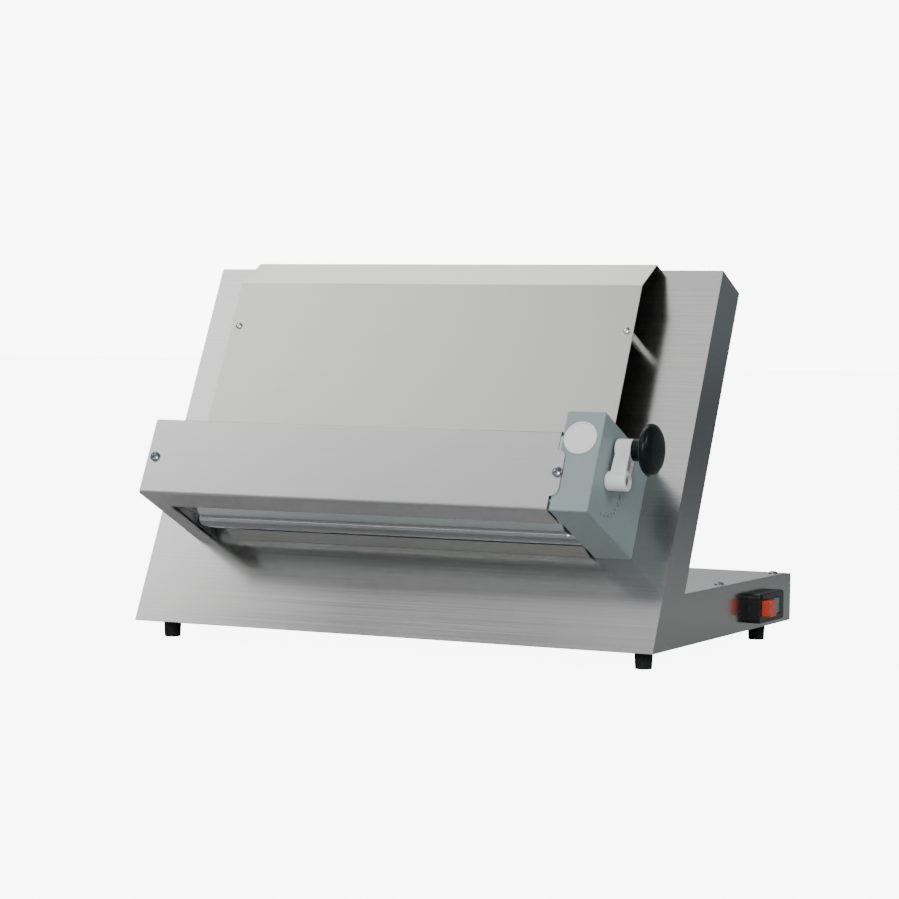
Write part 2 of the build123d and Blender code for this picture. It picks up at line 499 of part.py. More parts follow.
with BuildPart() as feed_standoffs:
    for x in STANDOFF_X:
        disc(slope(0), x, STANDOFF_S, 5.0, FEED_N - SHEET)
        disc(slope(-1), x, STANDOFF_S, 2.05, FEED_N + 2, mode=Mode.SUBTRACT)
save(feed_standoffs, "feed_standoffs")

with BuildPart() as feed_screws:
    for x in STANDOFF_X:
        pan_screw(slope(FEED_N), x, STANDOFF_S, 8.4, 2.7, 2.0, FEED_N + 7, slot=False)
save(feed_screws, "feed_screws")

# ---- rollers and their drive -------------------------------------------------------------------------
SHAFT_END = GEAR_X[1] + 2
GEAR_BORE = JOURNAL_RADIUS - 1.5


def roller(n, s, left, right, journal_left):
    """Roller with chamfered ends, journals in both bearing plates and a smaller seat for its gear."""
    rod(left, right, n, s, ROLLER_RADIUS)
    chamfer(edges().filter_by(GeomType.CIRCLE), 1.2)
    rod(journal_left, PLATE_RIGHT_X[1] + CARRIER_ROOM, n, s, JOURNAL_RADIUS)
    rod(PLATE_RIGHT_X[1], SHAFT_END, n, s, GEAR_BORE)


LEFT_JOURNAL = PLATE_LEFT_X[0] + 0.6
with BuildPart() as rear_roller:
    roller(REAR_N, REAR_S, *REAR_ROLLER_X, LEFT_JOURNAL)
save(rear_roller, "rear_roller")

with BuildPart() as front_roller:
    roller(FRONT_N, FRONT_S, *FRONT_ROLLER_X, LEFT_JOURNAL)
save(front_roller, "front_roller")


def gear(n, s, teeth, phase, bore):
    """Spur gear with long, slack teeth so that it stays in mesh while the roller gap changes."""
    pitch_radius = MODULE * teeth / 2
    root = pitch_radius - TOOTH_HEIGHT_IN
    tip = pitch_radius + TOOTH_HEIGHT_OUT
    half_root = pi * MODULE * TOOTH_SHARE / 2 + TOOTH_HEIGHT_IN * 0.2
    half_tip = pi * MODULE * TOOTH_SHARE / 2 - TOOTH_HEIGHT_OUT * 0.3
    with BuildSketch() as tooth:
        with BuildLine():
            Polyline((root - 1.5, -half_root), (root, -half_root), (tip, -half_tip), (tip, half_tip),
                     (root, half_root), (root - 1.5, half_root), close=True)
        make_face()
    with BuildSketch(head_section(GEAR_X[1])) as wheel:
        with Locations((n, s)):
            Circle(root)
            with PolarLocations(0, teeth, start_angle=phase):
                add(tooth.sketch)
            Circle(bore, mode=Mode.SUBTRACT)
    extrude(wheel.sketch, amount=GEAR_X[1] - GEAR_X[0])


def meshed(phase, teeth, n, s, next_teeth, next_n, next_s):
    """Phase that puts a gear's gap opposite the tooth of the gear before it."""
    line = degrees(atan2(next_s - s, next_n - n))
    return line + 180 + 180 / next_teeth - (phase - line) * teeth / next_teeth


REAR_PHASE = 0.0
IDLER_A_PHASE = meshed(REAR_PHASE, ROLLER_TEETH, REAR_N, REAR_S, IDLER_TEETH, IDLER_A_N, IDLER_S)
IDLER_B_PHASE = meshed(IDLER_A_PHASE, IDLER_TEETH, IDLER_A_N, IDLER_S, IDLER_TEETH, IDLER_B_N, IDLER_S)
FRONT_PHASE = meshed(IDLER_B_PHASE, IDLER_TEETH, IDLER_B_N, IDLER_S, ROLLER_TEETH, FRONT_N, FRONT_S)
JACK_PHASE = meshed(REAR_PHASE, ROLLER_TEETH, REAR_N, REAR_S, JACK_TEETH, JACK_N, JACK_S)
with BuildPart() as rear_roller_gear:
    gear(REAR_N, REAR_S, ROLLER_TEETH, REAR_PHASE, GEAR_BORE)
save(rear_roller_gear, "rear_roller_gear")

with BuildPart() as front_roller_gear:
    gear(FRONT_N, FRONT_S, ROLLER_TEETH, FRONT_PHASE, GEAR_BORE)
save(front_roller_gear, "front_roller_gear")

# Two idlers between them: one on the bearing plate, one carried along with the front roller
with BuildPart() as fixed_idler:
    gear(IDLER_A_N, IDLER_S, IDLER_TEETH, IDLER_A_PHASE, IDLER_AXLE + RUNNING)
save(fixed_idler, "fixed_idler")

with BuildPart() as carried_idler:
    gear(IDLER_B_N, IDLER_S, IDLER_TEETH, IDLER_B_PHASE, IDLER_AXLE + RUNNING)
save(carried_idler, "carried_idler")

with BuildPart() as fixed_idler_axle:
    rod(PLATE_RIGHT_X[0], GEAR_X[1] + 3, IDLER_A_N, IDLER_S, IDLER_AXLE)
    rod(PLATE_RIGHT_X[1], GEAR_X[0] - 0.4, IDLER_A_N, IDLER_S, IDLER_AXLE + 2)
save(fixed_idler_axle, "fixed_idler_axle")

# The jackshaft runs inside the leaning box and brings the belt's turn up to the rear roller's gear
JACK_SHAFT = 6.0
JACK_BLOCKS = ((GEAR_X[0] - 16, GEAR_X[0] - 4), (BELT_X[1] + 3, BELT_X[1] + 15))
with BuildPart() as jackshaft:
    rod(JACK_BLOCKS[0][0] - 1, JACK_BLOCKS[1][1] + 1, JACK_N, JACK_S, JACK_SHAFT)
save(jackshaft, "jackshaft")

with BuildPart() as jackshaft_gear:
    gear(JACK_N, JACK_S, JACK_TEETH, JACK_PHASE, JACK_SHAFT)
save(jackshaft_gear, "jackshaft_gear")

with BuildPart() as jackshaft_blocks:
    for x0, x1 in JACK_BLOCKS:
        slab(head_section(x1), JACK_N - 13, -SHEET, JACK_S - 13, JACK_S + 13, x1 - x0)
        rod(x0 - 1, x1 + 1, JACK_N, JACK_S, JACK_SHAFT + RUNNING, mode=Mode.SUBTRACT)
save(jackshaft_blocks, "jackshaft_blocks")

# Geared motor along the lower front corner, held by two saddles on the base pan
MOTOR_SEAT = MOTOR_RADIUS + MOTOR_CLEAR + SHEET
MOTOR_Y, MOTOR_Z = MOTOR_SEAT * (1 + sin(A)) / cos(A), MOTOR_SEAT
MOTOR_N = -(MOTOR_Y * cos(A) - MOTOR_Z * sin(A))
MOTOR_S = MOTOR_Y * sin(A) + MOTOR_Z * cos(A)
MOTOR_X = (20.0, 205.0)
REDUCER_X = (MOTOR_X[1], MOTOR_X[1] + 52.0)
MOTOR_SHAFT = 6.0
with BuildPart() as motor:
    rod(*MOTOR_X, MOTOR_N, MOTOR_S, MOTOR_RADIUS)
    rod(MOTOR_X[0] - 6, MOTOR_X[0], MOTOR_N, MOTOR_S, 12)
    for i in range(10):
        rod(MOTOR_X[0] + 20 + 14 * i, MOTOR_X[0] + 24 + 14 * i, MOTOR_N, MOTOR_S, MOTOR_RADIUS + 1)
        with BuildSketch(head_section(MOTOR_X[0] + 24 + 14 * i)) as ring:
            with Locations((MOTOR_N, MOTOR_S)):
                Circle(MOTOR_RADIUS + 2)
                Circle(MOTOR_RADIUS - 1.2, mode=Mode.SUBTRACT)
        extrude(ring.sketch, amount=4, mode=Mode.SUBTRACT)
save(motor, "motor")

with BuildPart() as reducer:
    rod(*REDUCER_X, MOTOR_N, MOTOR_S, MOTOR_RADIUS - 2)
    chamfer(edges().filter_by(GeomType.CIRCLE).sort_by(Axis.X)[-1], 3)
    rod(REDUCER_X[1] - 1, REDUCER_X[1] + 6, MOTOR_N, MOTOR_S, 11)
    rod(REDUCER_X[1] - 20, REDUCER_X[1] + 7, MOTOR_N, MOTOR_S, MOTOR_SHAFT + RUNNING, mode=Mode.SUBTRACT)
save(reducer, "reducer")

with BuildPart() as motor_shaft:
    rod(REDUCER_X[1] - 19, BELT_X[1] + 2, MOTOR_N, MOTOR_S, MOTOR_SHAFT)
save(motor_shaft, "motor_shaft")

SADDLES = ((MOTOR_X[0] + 8, MOTOR_X[0] + 18), (MOTOR_X[1] - 16, MOTOR_X[1] - 6))
with BuildPart() as motor_saddles:
    for x0, x1 in SADDLES:
        slab(section(x0), MOTOR_Y - 22, MOTOR_Y + 26, SHEET, MOTOR_Z, x1 - x0)
        slab(section(x0), MOTOR_Y + 26, MOTOR_Y + 44, SHEET, SHEET + 3, x1 - x0)
        rod(x0 - 1, x1 + 1, MOTOR_N, MOTOR_S, MOTOR_RADIUS, mode=Mode.SUBTRACT)
save(motor_saddles, "motor_saddles")


def pulley(n, s, radius, bore):
    """Flat belt pulley with a rim at each side."""
    rod(*BELT_X, n, s, radius)
    for x0 in (BELT_X[0] - 1.2, BELT_X[1]):
        rod(x0, x0 + 1.2, n, s, radius + 1.8)
    rod(BELT_X[0] - 2, BELT_X[1] + 2, n, s, bore, mode=Mode.SUBTRACT)


with BuildPart() as driven_pulley:
    pulley(JACK_N, JACK_S, JACK_PULLEY_RADIUS, JACK_SHAFT)
save(driven_pulley, "driven_pulley")

with BuildPart() as drive_pulley:
    pulley(MOTOR_N, MOTOR_S, MOTOR_PULLEY_RADIUS, MOTOR_SHAFT)
save(drive_pulley, "drive_pulley")

BELT_SIDE_GAP = 0.6
with BuildPart() as drive_belt:
    belt_run = (JACK_N - MOTOR_N, JACK_S - MOTOR_S)
    centres = sqrt(belt_run[0] ** 2 + belt_run[1] ** 2)
    along = degrees(atan2(belt_run[1], belt_run[0]))
    for grow, mode in ((BELT_THICKNESS + RUNNING, Mode.ADD), (RUNNING, Mode.SUBTRACT)):
        low_r, high_r = MOTOR_PULLEY_RADIUS + grow, JACK_PULLEY_RADIUS + grow
        tilt = degrees(atan2(high_r - low_r, sqrt(centres ** 2 - (high_r - low_r) ** 2)))
        with BuildSketch(head_section(BELT_X[1] - BELT_SIDE_GAP)) as loop:
            with Locations((MOTOR_N, MOTOR_S)):
                Circle(low_r)
            with Locations((JACK_N, JACK_S)):
                Circle(high_r)
            with BuildLine():
                points = []
                for side in (1, -1):
                    reach = radians(along + side * (90 + tilt))
                    ends = [(MOTOR_N + low_r * cos(reach), MOTOR_S + low_r * sin(reach)),
                            (JACK_N + high_r * cos(reach), JACK_S + high_r * sin(reach))]
                    points += ends if side > 0 else ends[::-1]
                Polyline(*points, close=True)
            make_face()
        extrude(loop.sketch, amount=BELT_X[1] - BELT_X[0] - 2 * BELT_SIDE_GAP, mode=mode)
save(drive_belt, "drive_belt")

# ---- gap adjustment ------------------------------------------------------------------------------------
# Two arms and a tie bar carry the front roller; eccentric lobes in their slots move them in and out.
ARM_LEFT_X = (PLATE_LEFT_X[1] + 8, PLATE_LEFT_X[1] + 16)
ARM_RIGHT_X = (PLATE_RIGHT_X[1] + 0.5, PLATE_RIGHT_X[1] + CARRIER_ROOM)
ARM_WALL = 6.0
FRONT_BUSH_RADIUS = JOURNAL_RADIUS + RUNNING + 2.5
YOKE_N = LOBE_RADIUS + YOKE_SLACK
YOKE_S = LOBE_RADIUS + ECCENTRICITY + YOKE_SLACK
with BuildPart() as carrier_arms:
    for x0, x1 in (ARM_LEFT_X, ARM_RIGHT_X):
        outline(head_section(x1),
                [(FRONT_N - 14, FRONT_S - 14), (TIE_N + 10, FRONT_S - 14), (PIVOT_N + YOKE_N + ARM_WALL, FRONT_S),
                 (PIVOT_N + YOKE_N + ARM_WALL, PIVOT_S + YOKE_S + ARM_WALL),
                 (PIVOT_N - YOKE_N - ARM_WALL, PIVOT_S + YOKE_S + ARM_WALL),
                 (PIVOT_N - YOKE_N - ARM_WALL, IDLER_S + 8), (IDLER_B_N - 8, IDLER_S + 8),
                 (IDLER_B_N - 8, IDLER_S - 6), (FRONT_N - 14, FRONT_S + 10)], x1 - x0)
        slab(head_section(x1 + 1), PIVOT_N - ECCENTRICITY - YOKE_N, PIVOT_N - ECCENTRICITY + YOKE_N,
             PIVOT_S - YOKE_S, PIVOT_S + YOKE_S, x1 - x0 + 2, mode=Mode.SUBTRACT)
        rod(x0 - 1, x1 + 1, FRONT_N, FRONT_S, FRONT_BUSH_RADIUS, mode=Mode.SUBTRACT)
        rod(x0 - 1, x1 + 1, TIE_N, TIE_S, TIE_RADIUS, mode=Mode.SUBTRACT)
    rod(ARM_RIGHT_X[0] - 1, ARM_RIGHT_X[1] + 1, IDLER_B_N, IDLER_S, IDLER_AXLE, mode=Mode.SUBTRACT)
save(carrier_arms, "carrier_arms")

with BuildPart() as carried_idler_axle:
    rod(ARM_RIGHT_X[0], GEAR_X[1] + 3, IDLER_B_N, IDLER_S, IDLER_AXLE)
save(carried_idler_axle, "carried_idler_axle")

with BuildPart() as front_roller_bushes:
    for x0, x1 in (ARM_LEFT_X, ARM_RIGHT_X):
        rod(x0, x1, FRONT_N, FRONT_S, FRONT_BUSH_RADIUS)
        rod(x0 - 1, x1 + 1, FRONT_N, FRONT_S, JOURNAL_RADIUS + RUNNING, mode=Mode.SUBTRACT)
save(front_roller_bushes, "front_roller_bushes")

with BuildPart() as carrier_tie_bar:
    rod(LEFT_JOURNAL, ARM_RIGHT_X[1], TIE_N, TIE_S, TIE_RADIUS)
save(carrier_tie_bar, "carrier_tie_bar")

# At rest the lobes point towards the panel, the gap at its smallest
SHAFT_FACE = GEARBOX_RIGHT + LEVER_GAP + 20
LEVER_SCREW_RADIUS = 2.0
with BuildPart() as eccentric_shaft:
    rod(LEFT_JOURNAL, SHAFT_FACE, PIVOT_N, PIVOT_S, SHAFT_RADIUS)
    for x0, x1 in (ARM_LEFT_X, ARM_RIGHT_X):
        rod(x0 + 0.3, x1 - 0.3, PIVOT_N - ECCENTRICITY, PIVOT_S, LOBE_RADIUS)
    rod(SHAFT_FACE - 14, SHAFT_FACE + 1, PIVOT_N, PIVOT_S, LEVER_SCREW_RADIUS, mode=Mode.SUBTRACT)
save(eccentric_shaft, "eccentric_shaft")


def scraper(tip_n, tip_s, foot_n, foot_s, thickness):
    """Thin blade across the head, its tip close to a roller."""
    length = sqrt((foot_n - tip_n) ** 2 + (foot_s - tip_s) ** 2)
    side = (-(foot_s - tip_s) / length * thickness, (foot_n - tip_n) / length * thickness)
    outline(head_section(FRONT_ROLLER_X[1] - 2),
            [(tip_n, tip_s), (foot_n, foot_s), (foot_n + side[0], foot_s + side[1]),
             (tip_n + side[0] * 0.4, tip_s + side[1] * 0.4)], FRONT_ROLLER_X[1] - FRONT_ROLLER_X[0] - 4)


SCRAPE = radians(-48)
with BuildPart() as front_scraper:
    tip = ROLLER_RADIUS + CLEAR + 0.2
    scraper(FRONT_N + tip * cos(SCRAPE), FRONT_S + tip * sin(SCRAPE), TIE_N - 2, TIE_S - TIE_RADIUS - 1.2, 1.2)
    slab(head_section(FRONT_ROLLER_X[1] - 2), TIE_N - 4, TIE_N + 5, TIE_S - TIE_RADIUS - 2.2, TIE_S - 1,
         FRONT_ROLLER_X[1] - FRONT_ROLLER_X[0] - 4)
    rod(FRONT_ROLLER_X[0], FRONT_ROLLER_X[1], TIE_N, TIE_S, TIE_RADIUS, mode=Mode.SUBTRACT)
save(front_scraper, "front_scraper")

with BuildPart() as rear_scraper:
    slab(head_section(FRONT_ROLLER_X[1] - 2), 0, 3.5, HEAD_LOW + 0.5, HEAD_LOW + 3,
         FRONT_ROLLER_X[1] - FRONT_ROLLER_X[0] - 4)
    scraper(REAR_N - 5, REAR_S - ROLLER_RADIUS - 0.4, 0.5, HEAD_LOW + 1, 1.2)
save(rear_scraper, "rear_scraper")

# ---- lever and index knob --------------------------------------------------------------------------
REST = radians(LEVER_REST)
LEVER_X = (GEARBOX_RIGHT + LEVER_GAP, 316.0)
BOSS_END = 318.0
LOWER_BOSS, UPPER_BOSS = 11.0, 12.0
WEB = 3.0
RIB = 2.5
KNOB_N, KNOB_S = PIVOT_N + INDEX_RADIUS * cos(REST), PIVOT_S + INDEX_RADIUS * sin(REST)
PIN_RADIUS = 2.3
PIN_SLEEVE = 6.0
with BuildPart() as lever:
    lever_plane = Plane(origin=head_section(LEVER_X[1]).from_local_coords((PIVOT_N, PIVOT_S, 0)),
                        x_dir=OUT * cos(REST) + UP_SLOPE * sin(REST), z_dir=(-1, 0, 0))
    depth = LEVER_X[1] - LEVER_X[0]
    arm_half = 9.0
    with BuildSketch(lever_plane) as arm:
        Circle(LOWER_BOSS)
        with Locations((INDEX_RADIUS, 0)):
            Circle(UPPER_BOSS)
        with Locations((INDEX_RADIUS / 2, 0)):
            Rectangle(INDEX_RADIUS, 2 * arm_half)
    extrude(arm.sketch, amount=depth)
    with BuildSketch(lever_plane) as pocket:
        with Locations((INDEX_RADIUS / 2, 0)):
            Rectangle(INDEX_RADIUS, 2 * (arm_half - RIB))
        Circle(LOWER_BOSS - 0.2, mode=Mode.SUBTRACT)
        with Locations((INDEX_RADIUS, 0)):
            Circle(UPPER_BOSS - 0.2, mode=Mode.SUBTRACT)
    extrude(pocket.sketch, amount=depth - WEB, mode=Mode.SUBTRACT)
    rod(LEVER_X[1] - 1, BOSS_END, PIVOT_N, PIVOT_S, LOWER_BOSS - 0.8)
    rod(LEVER_X[0] - 1, BOSS_END + 1, PIVOT_N, PIVOT_S, SHAFT_RADIUS, mode=Mode.SUBTRACT)
    rod(LEVER_X[0] - 1, BOSS_END + 1, KNOB_N, KNOB_S, PIN_SLEEVE + RUNNING, mode=Mode.SUBTRACT)
    rod(LEVER_X[0], LEVER_X[0] + WEB, KNOB_N, KNOB_S, PIN_SLEEVE + 1)
    rod(LEVER_X[0] - 1, LEVER_X[0] + WEB + 1, KNOB_N, KNOB_S, PIN_RADIUS + RUNNING, mode=Mode.SUBTRACT)
save(lever, "lever")

with BuildPart() as lever_screw:
    rod(SHAFT_FACE, SHAFT_FACE + 2.6, PIVOT_N, PIVOT_S, 4.5)
    with BuildSketch(head_section(SHAFT_FACE + 3)) as slot:
        with Locations((PIVOT_N, PIVOT_S)):
            Rectangle(10, 1.2, rotation=LEVER_REST)
    extrude(slot.sketch, amount=1.4, mode=Mode.SUBTRACT)
    rod(SHAFT_FACE - 14, SHAFT_FACE, PIVOT_N, PIVOT_S, LEVER_SCREW_RADIUS)
save(lever_screw, "lever_screw")

KNOB_X = (330.0, 345.7)
KNOB_RADIUS = 29.5
NECK_RADIUS = 13.0
with BuildPart() as index_knob:
    knob_plane = Plane(origin=head_section(LEVER_X[1]).from_local_coords((KNOB_N, KNOB_S, 0)),
                       x_dir=(1, 0, 0), z_dir=-OUT)
    neck = KNOB_X[0] - LEVER_X[1]
    face = KNOB_X[1] - LEVER_X[1]
    with BuildSketch(knob_plane) as half:
        with BuildLine():
            Polyline((face, 1.2), (face, 0), (-4, 0), (-4, PIN_SLEEVE), (CLEAR, PIN_SLEEVE), (CLEAR, NECK_RADIUS),
                     (neck - 3, NECK_RADIUS), (neck, NECK_RADIUS + 3), (neck, KNOB_RADIUS - 4))
            ThreePointArc((neck, KNOB_RADIUS - 4), (neck + 5.5, KNOB_RADIUS), (neck + 11.5, KNOB_RADIUS - 3.5))
            ThreePointArc((neck + 11.5, KNOB_RADIUS - 3.5), (face - 1.1, KNOB_RADIUS * 0.5), (face, 1.2))
        make_face()
    revolve(half.sketch, axis=Axis(knob_plane.origin, (1, 0, 0)))
save(index_knob, "index_knob")

PIN_TIP = GEARBOX_RIGHT + 0.3
with BuildPart() as plunger_pin:
    rod(PIN_TIP, LEVER_X[1] - 4, KNOB_N, KNOB_S, PIN_RADIUS)
save(plunger_pin, "plunger_pin")

with BuildPart() as plunger_spring:
    spring_length = 7.0
    turns = 4
    for i in range(turns):
        x0 = LEVER_X[0] + WEB + i * spring_length / turns
        rod(x0, x0 + spring_length / turns * 0.6, KNOB_N, KNOB_S, PIN_SLEEVE - 0.3)
        rod(x0, x0 + spring_length / turns, KNOB_N, KNOB_S, PIN_SLEEVE - 1.2, mode=Mode.SUBTRACT)
        if i:
            slab(head_section(x0 + 0.1), KNOB_N + PIN_SLEEVE - 1.1, KNOB_N + PIN_SLEEVE - 0.5, KNOB_S - 1,
                 KNOB_S + 1, spring_length / turns * 0.5)
save(plunger_spring, "plunger_spring")

# ---- switch ----------------------------------------------------------------------------------------
BUTTON_Z = (SWITCH_Z[0] + SWITCH_Z[1]) / 2
BUTTON_LOW = BUTTON_Z - BUTTON_HEIGHT / 2 - FOOT_HEIGHT
BUTTON_HIGH = BUTTON_LOW + BUTTON_HEIGHT
BUTTON_BACK = WIDTH / 2 + 1.0
z_low, z_high = SWITCH_Z[0] - FOOT_HEIGHT, SWITCH_Z[1] - FOOT_HEIGHT
with BuildPart() as switch_bezel:
    slab(section(WIDTH / 2), *SWITCH_Y, z_low, z_high, SWITCH_DEPTH)
    fillet(switch_bezel.edges().filter_by(Axis.X), 5)
    fillet(switch_bezel.faces().sort_by(Axis.X)[-1].edges(), 1.5)
    for y0, y1 in (STOP_Y, START_Y):
        slab(section(WIDTH / 2 - 1), y0 - CLEAR, y1 + CLEAR, BUTTON_LOW - CLEAR, BUTTON_HIGH + CLEAR,
             SWITCH_DEPTH + 2, mode=Mode.SUBTRACT)
    slab(section(WIDTH / 2 - 8), SWITCH_Y[0] + 6, SWITCH_Y[1] - 6, z_low + 6, z_high - 6, 8)
    for y0, y1 in (STOP_Y, START_Y):
        slab(section(WIDTH / 2 - 9), y0 - CLEAR, y1 + CLEAR, BUTTON_LOW - CLEAR, BUTTON_HIGH + CLEAR,
             10, mode=Mode.SUBTRACT)
    # raised ledge that guards the upper edge of the stop button
    slab(section(SWITCH_FACE - 1), SWITCH_Y[0] + 3, STOP_Y[1] + 6, BUTTON_HIGH + 1.5, z_high - 2, 4)
save(switch_bezel, "switch_bezel")

SWITCH_BODY_X = (WIDTH / 2 - 42, WIDTH / 2 - 8.2)
with BuildPart() as switch_body:
    slab(section(SWITCH_BODY_X[0]), SWITCH_Y[0] + 8, SWITCH_Y[1] - 8, z_low + 7, z_high - 7,
         SWITCH_BODY_X[1] - SWITCH_BODY_X[0])
    for y0, y1 in (STOP_Y, START_Y):
        middle = (y0 + y1) / 2
        with BuildSketch(section(SWITCH_BODY_X[1] - 10)) as bore:
            with Locations((middle, BUTTON_Z - FOOT_HEIGHT)):
                Circle(4.5)
        extrude(bore.sketch, amount=12, mode=Mode.SUBTRACT)
save(switch_body, "switch_body")


def button(y0, y1, proud):
    face = SWITCH_FACE + proud
    slab(section(BUTTON_BACK), y0, y1, BUTTON_LOW, BUTTON_HIGH, face - BUTTON_BACK)
    fillet(edges().filter_by(Axis.X), 1.6)
    fillet(faces().sort_by(Axis.X)[-1].edges(), 1.2)
    with BuildSketch(section(SWITCH_BODY_X[1] - 6)) as stem:
        with Locations(((y0 + y1) / 2, BUTTON_Z - FOOT_HEIGHT)):
            Circle(2.5)
    extrude(stem.sketch, amount=BUTTON_BACK - SWITCH_BODY_X[1] + 6.5)


with BuildPart() as stop_button:
    button(*STOP_Y, STOP_PROUD)
save(stop_button, "stop_button")

with BuildPart() as start_button:
    button(*START_Y, -0.4)
save(start_button, "start_button")

with BuildPart() as button_springs:
    for y0, y1 in (STOP_Y, START_Y):
        with BuildSketch(section(SWITCH_BODY_X[1] - 10)) as coil:
            with Locations(((y0 + y1) / 2, BUTTON_Z - FOOT_HEIGHT)):
                Circle(4.3)
                Circle(3.0, mode=Mode.SUBTRACT)
        extrude(coil.sketch, amount=12)
save(button_springs, "button_springs")

# ---- electrics inside the base -------------------------------------------------------------------------
BOX_X, BOX_Y = (-200.0, -90.0), (300.0, 380.0)
with BuildPart() as control_box:
    slab(section(BOX_X[0]), *BOX_Y, SHEET, 42, BOX_X[1] - BOX_X[0])
    fillet(control_box.edges().filter_by(Axis.Z), 4)
    slab(section(BOX_X[0] + 3), BOX_Y[0] + 3, BOX_Y[1] - 3, SHEET + 3, 39, BOX_X[1] - BOX_X[0] - 6,
         mode=Mode.SUBTRACT)
    disc(level(FOOT_HEIGHT + SHEET), BOX_X[0] - 6, (BOX_Y[0] + BOX_Y[1]) / 2, 9, 3)
    disc(level(FOOT_HEIGHT + SHEET), BOX_X[1] + 6, (BOX_Y[0] + BOX_Y[1]) / 2, 9, 3)
save(control_box, "control_box")

CAPACITOR_X, CAPACITOR_Y = (-60.0, 20.0), 340.0
with BuildPart() as motor_capacitor:
    with BuildSketch(section(CAPACITOR_X[0])) as can:
        with Locations((CAPACITOR_Y, SHEET + 3 + 17)):
            Circle(17)
    extrude(can.sketch, amount=CAPACITOR_X[1] - CAPACITOR_X[0])
    for x in (CAPACITOR_X[0] + 8, CAPACITOR_X[1] - 20):
        slab(section(x), CAPACITOR_Y - 14, CAPACITOR_Y + 14, SHEET, SHEET + 10, 12)
save(motor_capacitor, "motor_capacitor")

LEAD_RADIUS = 3.0
LEAD_Z = SHEET + LEAD_RADIUS + 0.1


def lead(points, radius):
    """Insulated lead laid on the floor of the base, bent round its corners."""
    with BuildLine(level(FOOT_HEIGHT + LEAD_Z)) as route:
        FilletPolyline(*points, radius=radius)
    with BuildSketch(Plane(origin=route.line @ 0, z_dir=route.line % 0)) as core:
        Circle(LEAD_RADIUS)
    sweep(core.sketch, path=route.line)


with BuildPart() as inner_leads:
    middle = (BOX_Y[0] + BOX_Y[1]) / 2
    lead([(CAPACITOR_X[1] + 0.2, CAPACITOR_Y), (120, CAPACITOR_Y), (120, 250), (180, 250)], 18)
    lead([(BOX_X[0] + 30, BOX_Y[1] + 0.1), (BOX_X[0] + 30, 420), (260, 420), (260, 350),
          (SWITCH_BODY_X[0] - 0.2, 350)], 18)
    lead([(BOX_X[0] + 50, BOX_Y[0] - 0.1), (BOX_X[0] + 50, 150), (MOTOR_X[0] - 30, 150),
          (MOTOR_X[0] - 30, MOTOR_Y + 38), (MOTOR_X[0] + 4, MOTOR_Y + 38)], 14)
save(inner_leads, "inner_leads")
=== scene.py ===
import bpy
import bmesh
import json
from math import cos, sin, pi, radians, sqrt
from mathutils import Matrix, Vector


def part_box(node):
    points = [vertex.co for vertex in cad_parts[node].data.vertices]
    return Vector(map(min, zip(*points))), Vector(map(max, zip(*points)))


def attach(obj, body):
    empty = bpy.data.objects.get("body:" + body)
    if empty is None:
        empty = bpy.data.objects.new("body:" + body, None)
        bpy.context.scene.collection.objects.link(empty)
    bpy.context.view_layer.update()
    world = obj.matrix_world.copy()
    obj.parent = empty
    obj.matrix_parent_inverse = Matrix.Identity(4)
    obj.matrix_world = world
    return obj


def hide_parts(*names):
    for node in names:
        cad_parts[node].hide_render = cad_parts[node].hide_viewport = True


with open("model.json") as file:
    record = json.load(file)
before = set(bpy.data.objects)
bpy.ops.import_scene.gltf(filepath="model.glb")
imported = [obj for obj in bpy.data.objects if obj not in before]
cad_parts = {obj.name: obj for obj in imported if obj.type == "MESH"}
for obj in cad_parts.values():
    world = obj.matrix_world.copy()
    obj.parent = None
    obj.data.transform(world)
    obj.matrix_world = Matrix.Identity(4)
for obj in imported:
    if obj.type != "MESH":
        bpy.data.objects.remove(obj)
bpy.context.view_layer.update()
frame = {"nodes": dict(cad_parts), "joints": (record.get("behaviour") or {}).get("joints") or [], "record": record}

# ---- Room: pale floor, soft studio light and the camera ------------------------------------------
# The machine stands on a plain floor. Two soft lights high on the left give the leaning sheet its
# slow fall of tone; the others fill the head, the right side and the back. Floor and backdrop look
# near white to the camera's own rays, and give the machine less light than they seem to.
scene = bpy.context.scene
YAW, PITCH, ROLL = radians(26.117), radians(2.333), radians(0.807)
forward = Vector((-sin(YAW) * cos(PITCH), cos(YAW) * cos(PITCH), -sin(PITCH)))
level_right = Vector((cos(YAW), sin(YAW), 0))
level_up = level_right.cross(forward)
right = level_right * cos(ROLL) + level_up * sin(ROLL)
up = level_up * cos(ROLL) - level_right * sin(ROLL)
camera_data = bpy.data.cameras.new("studio_camera")
camera_data.lens, camera_data.sensor_width = 113.05, 36.0
camera_data.clip_end = 60
camera = bpy.data.objects.new("studio_camera", camera_data)
scene.collection.objects.link(camera)
body_low, body_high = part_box("body_shell")
CAMERA_FROM_FRONT_EDGE = Vector((1.5135, -2.9149, 0.3752))
front_edge = Vector(((body_low.x + body_high.x) / 2, body_low.y, 0))
place = front_edge + CAMERA_FROM_FRONT_EDGE
facing = Matrix((right, up, -forward)).transposed().to_4x4()
camera.matrix_world = Matrix.Translation(place) @ facing
scene.camera = camera


def soft_light(name, at, aim, width, height, watts):
    """Rectangular soft light, turned from where it hangs towards its aim."""
    data = bpy.data.lights.new(name, "AREA")
    data.shape, data.size, data.size_y = "RECTANGLE", width, height
    data.energy = watts
    lamp = bpy.data.objects.new(name, data)
    scene.collection.objects.link(lamp)
    lamp.location = at
    lamp.rotation_euler = (Vector(aim) - Vector(at)).to_track_quat("-Z", "Y").to_euler()


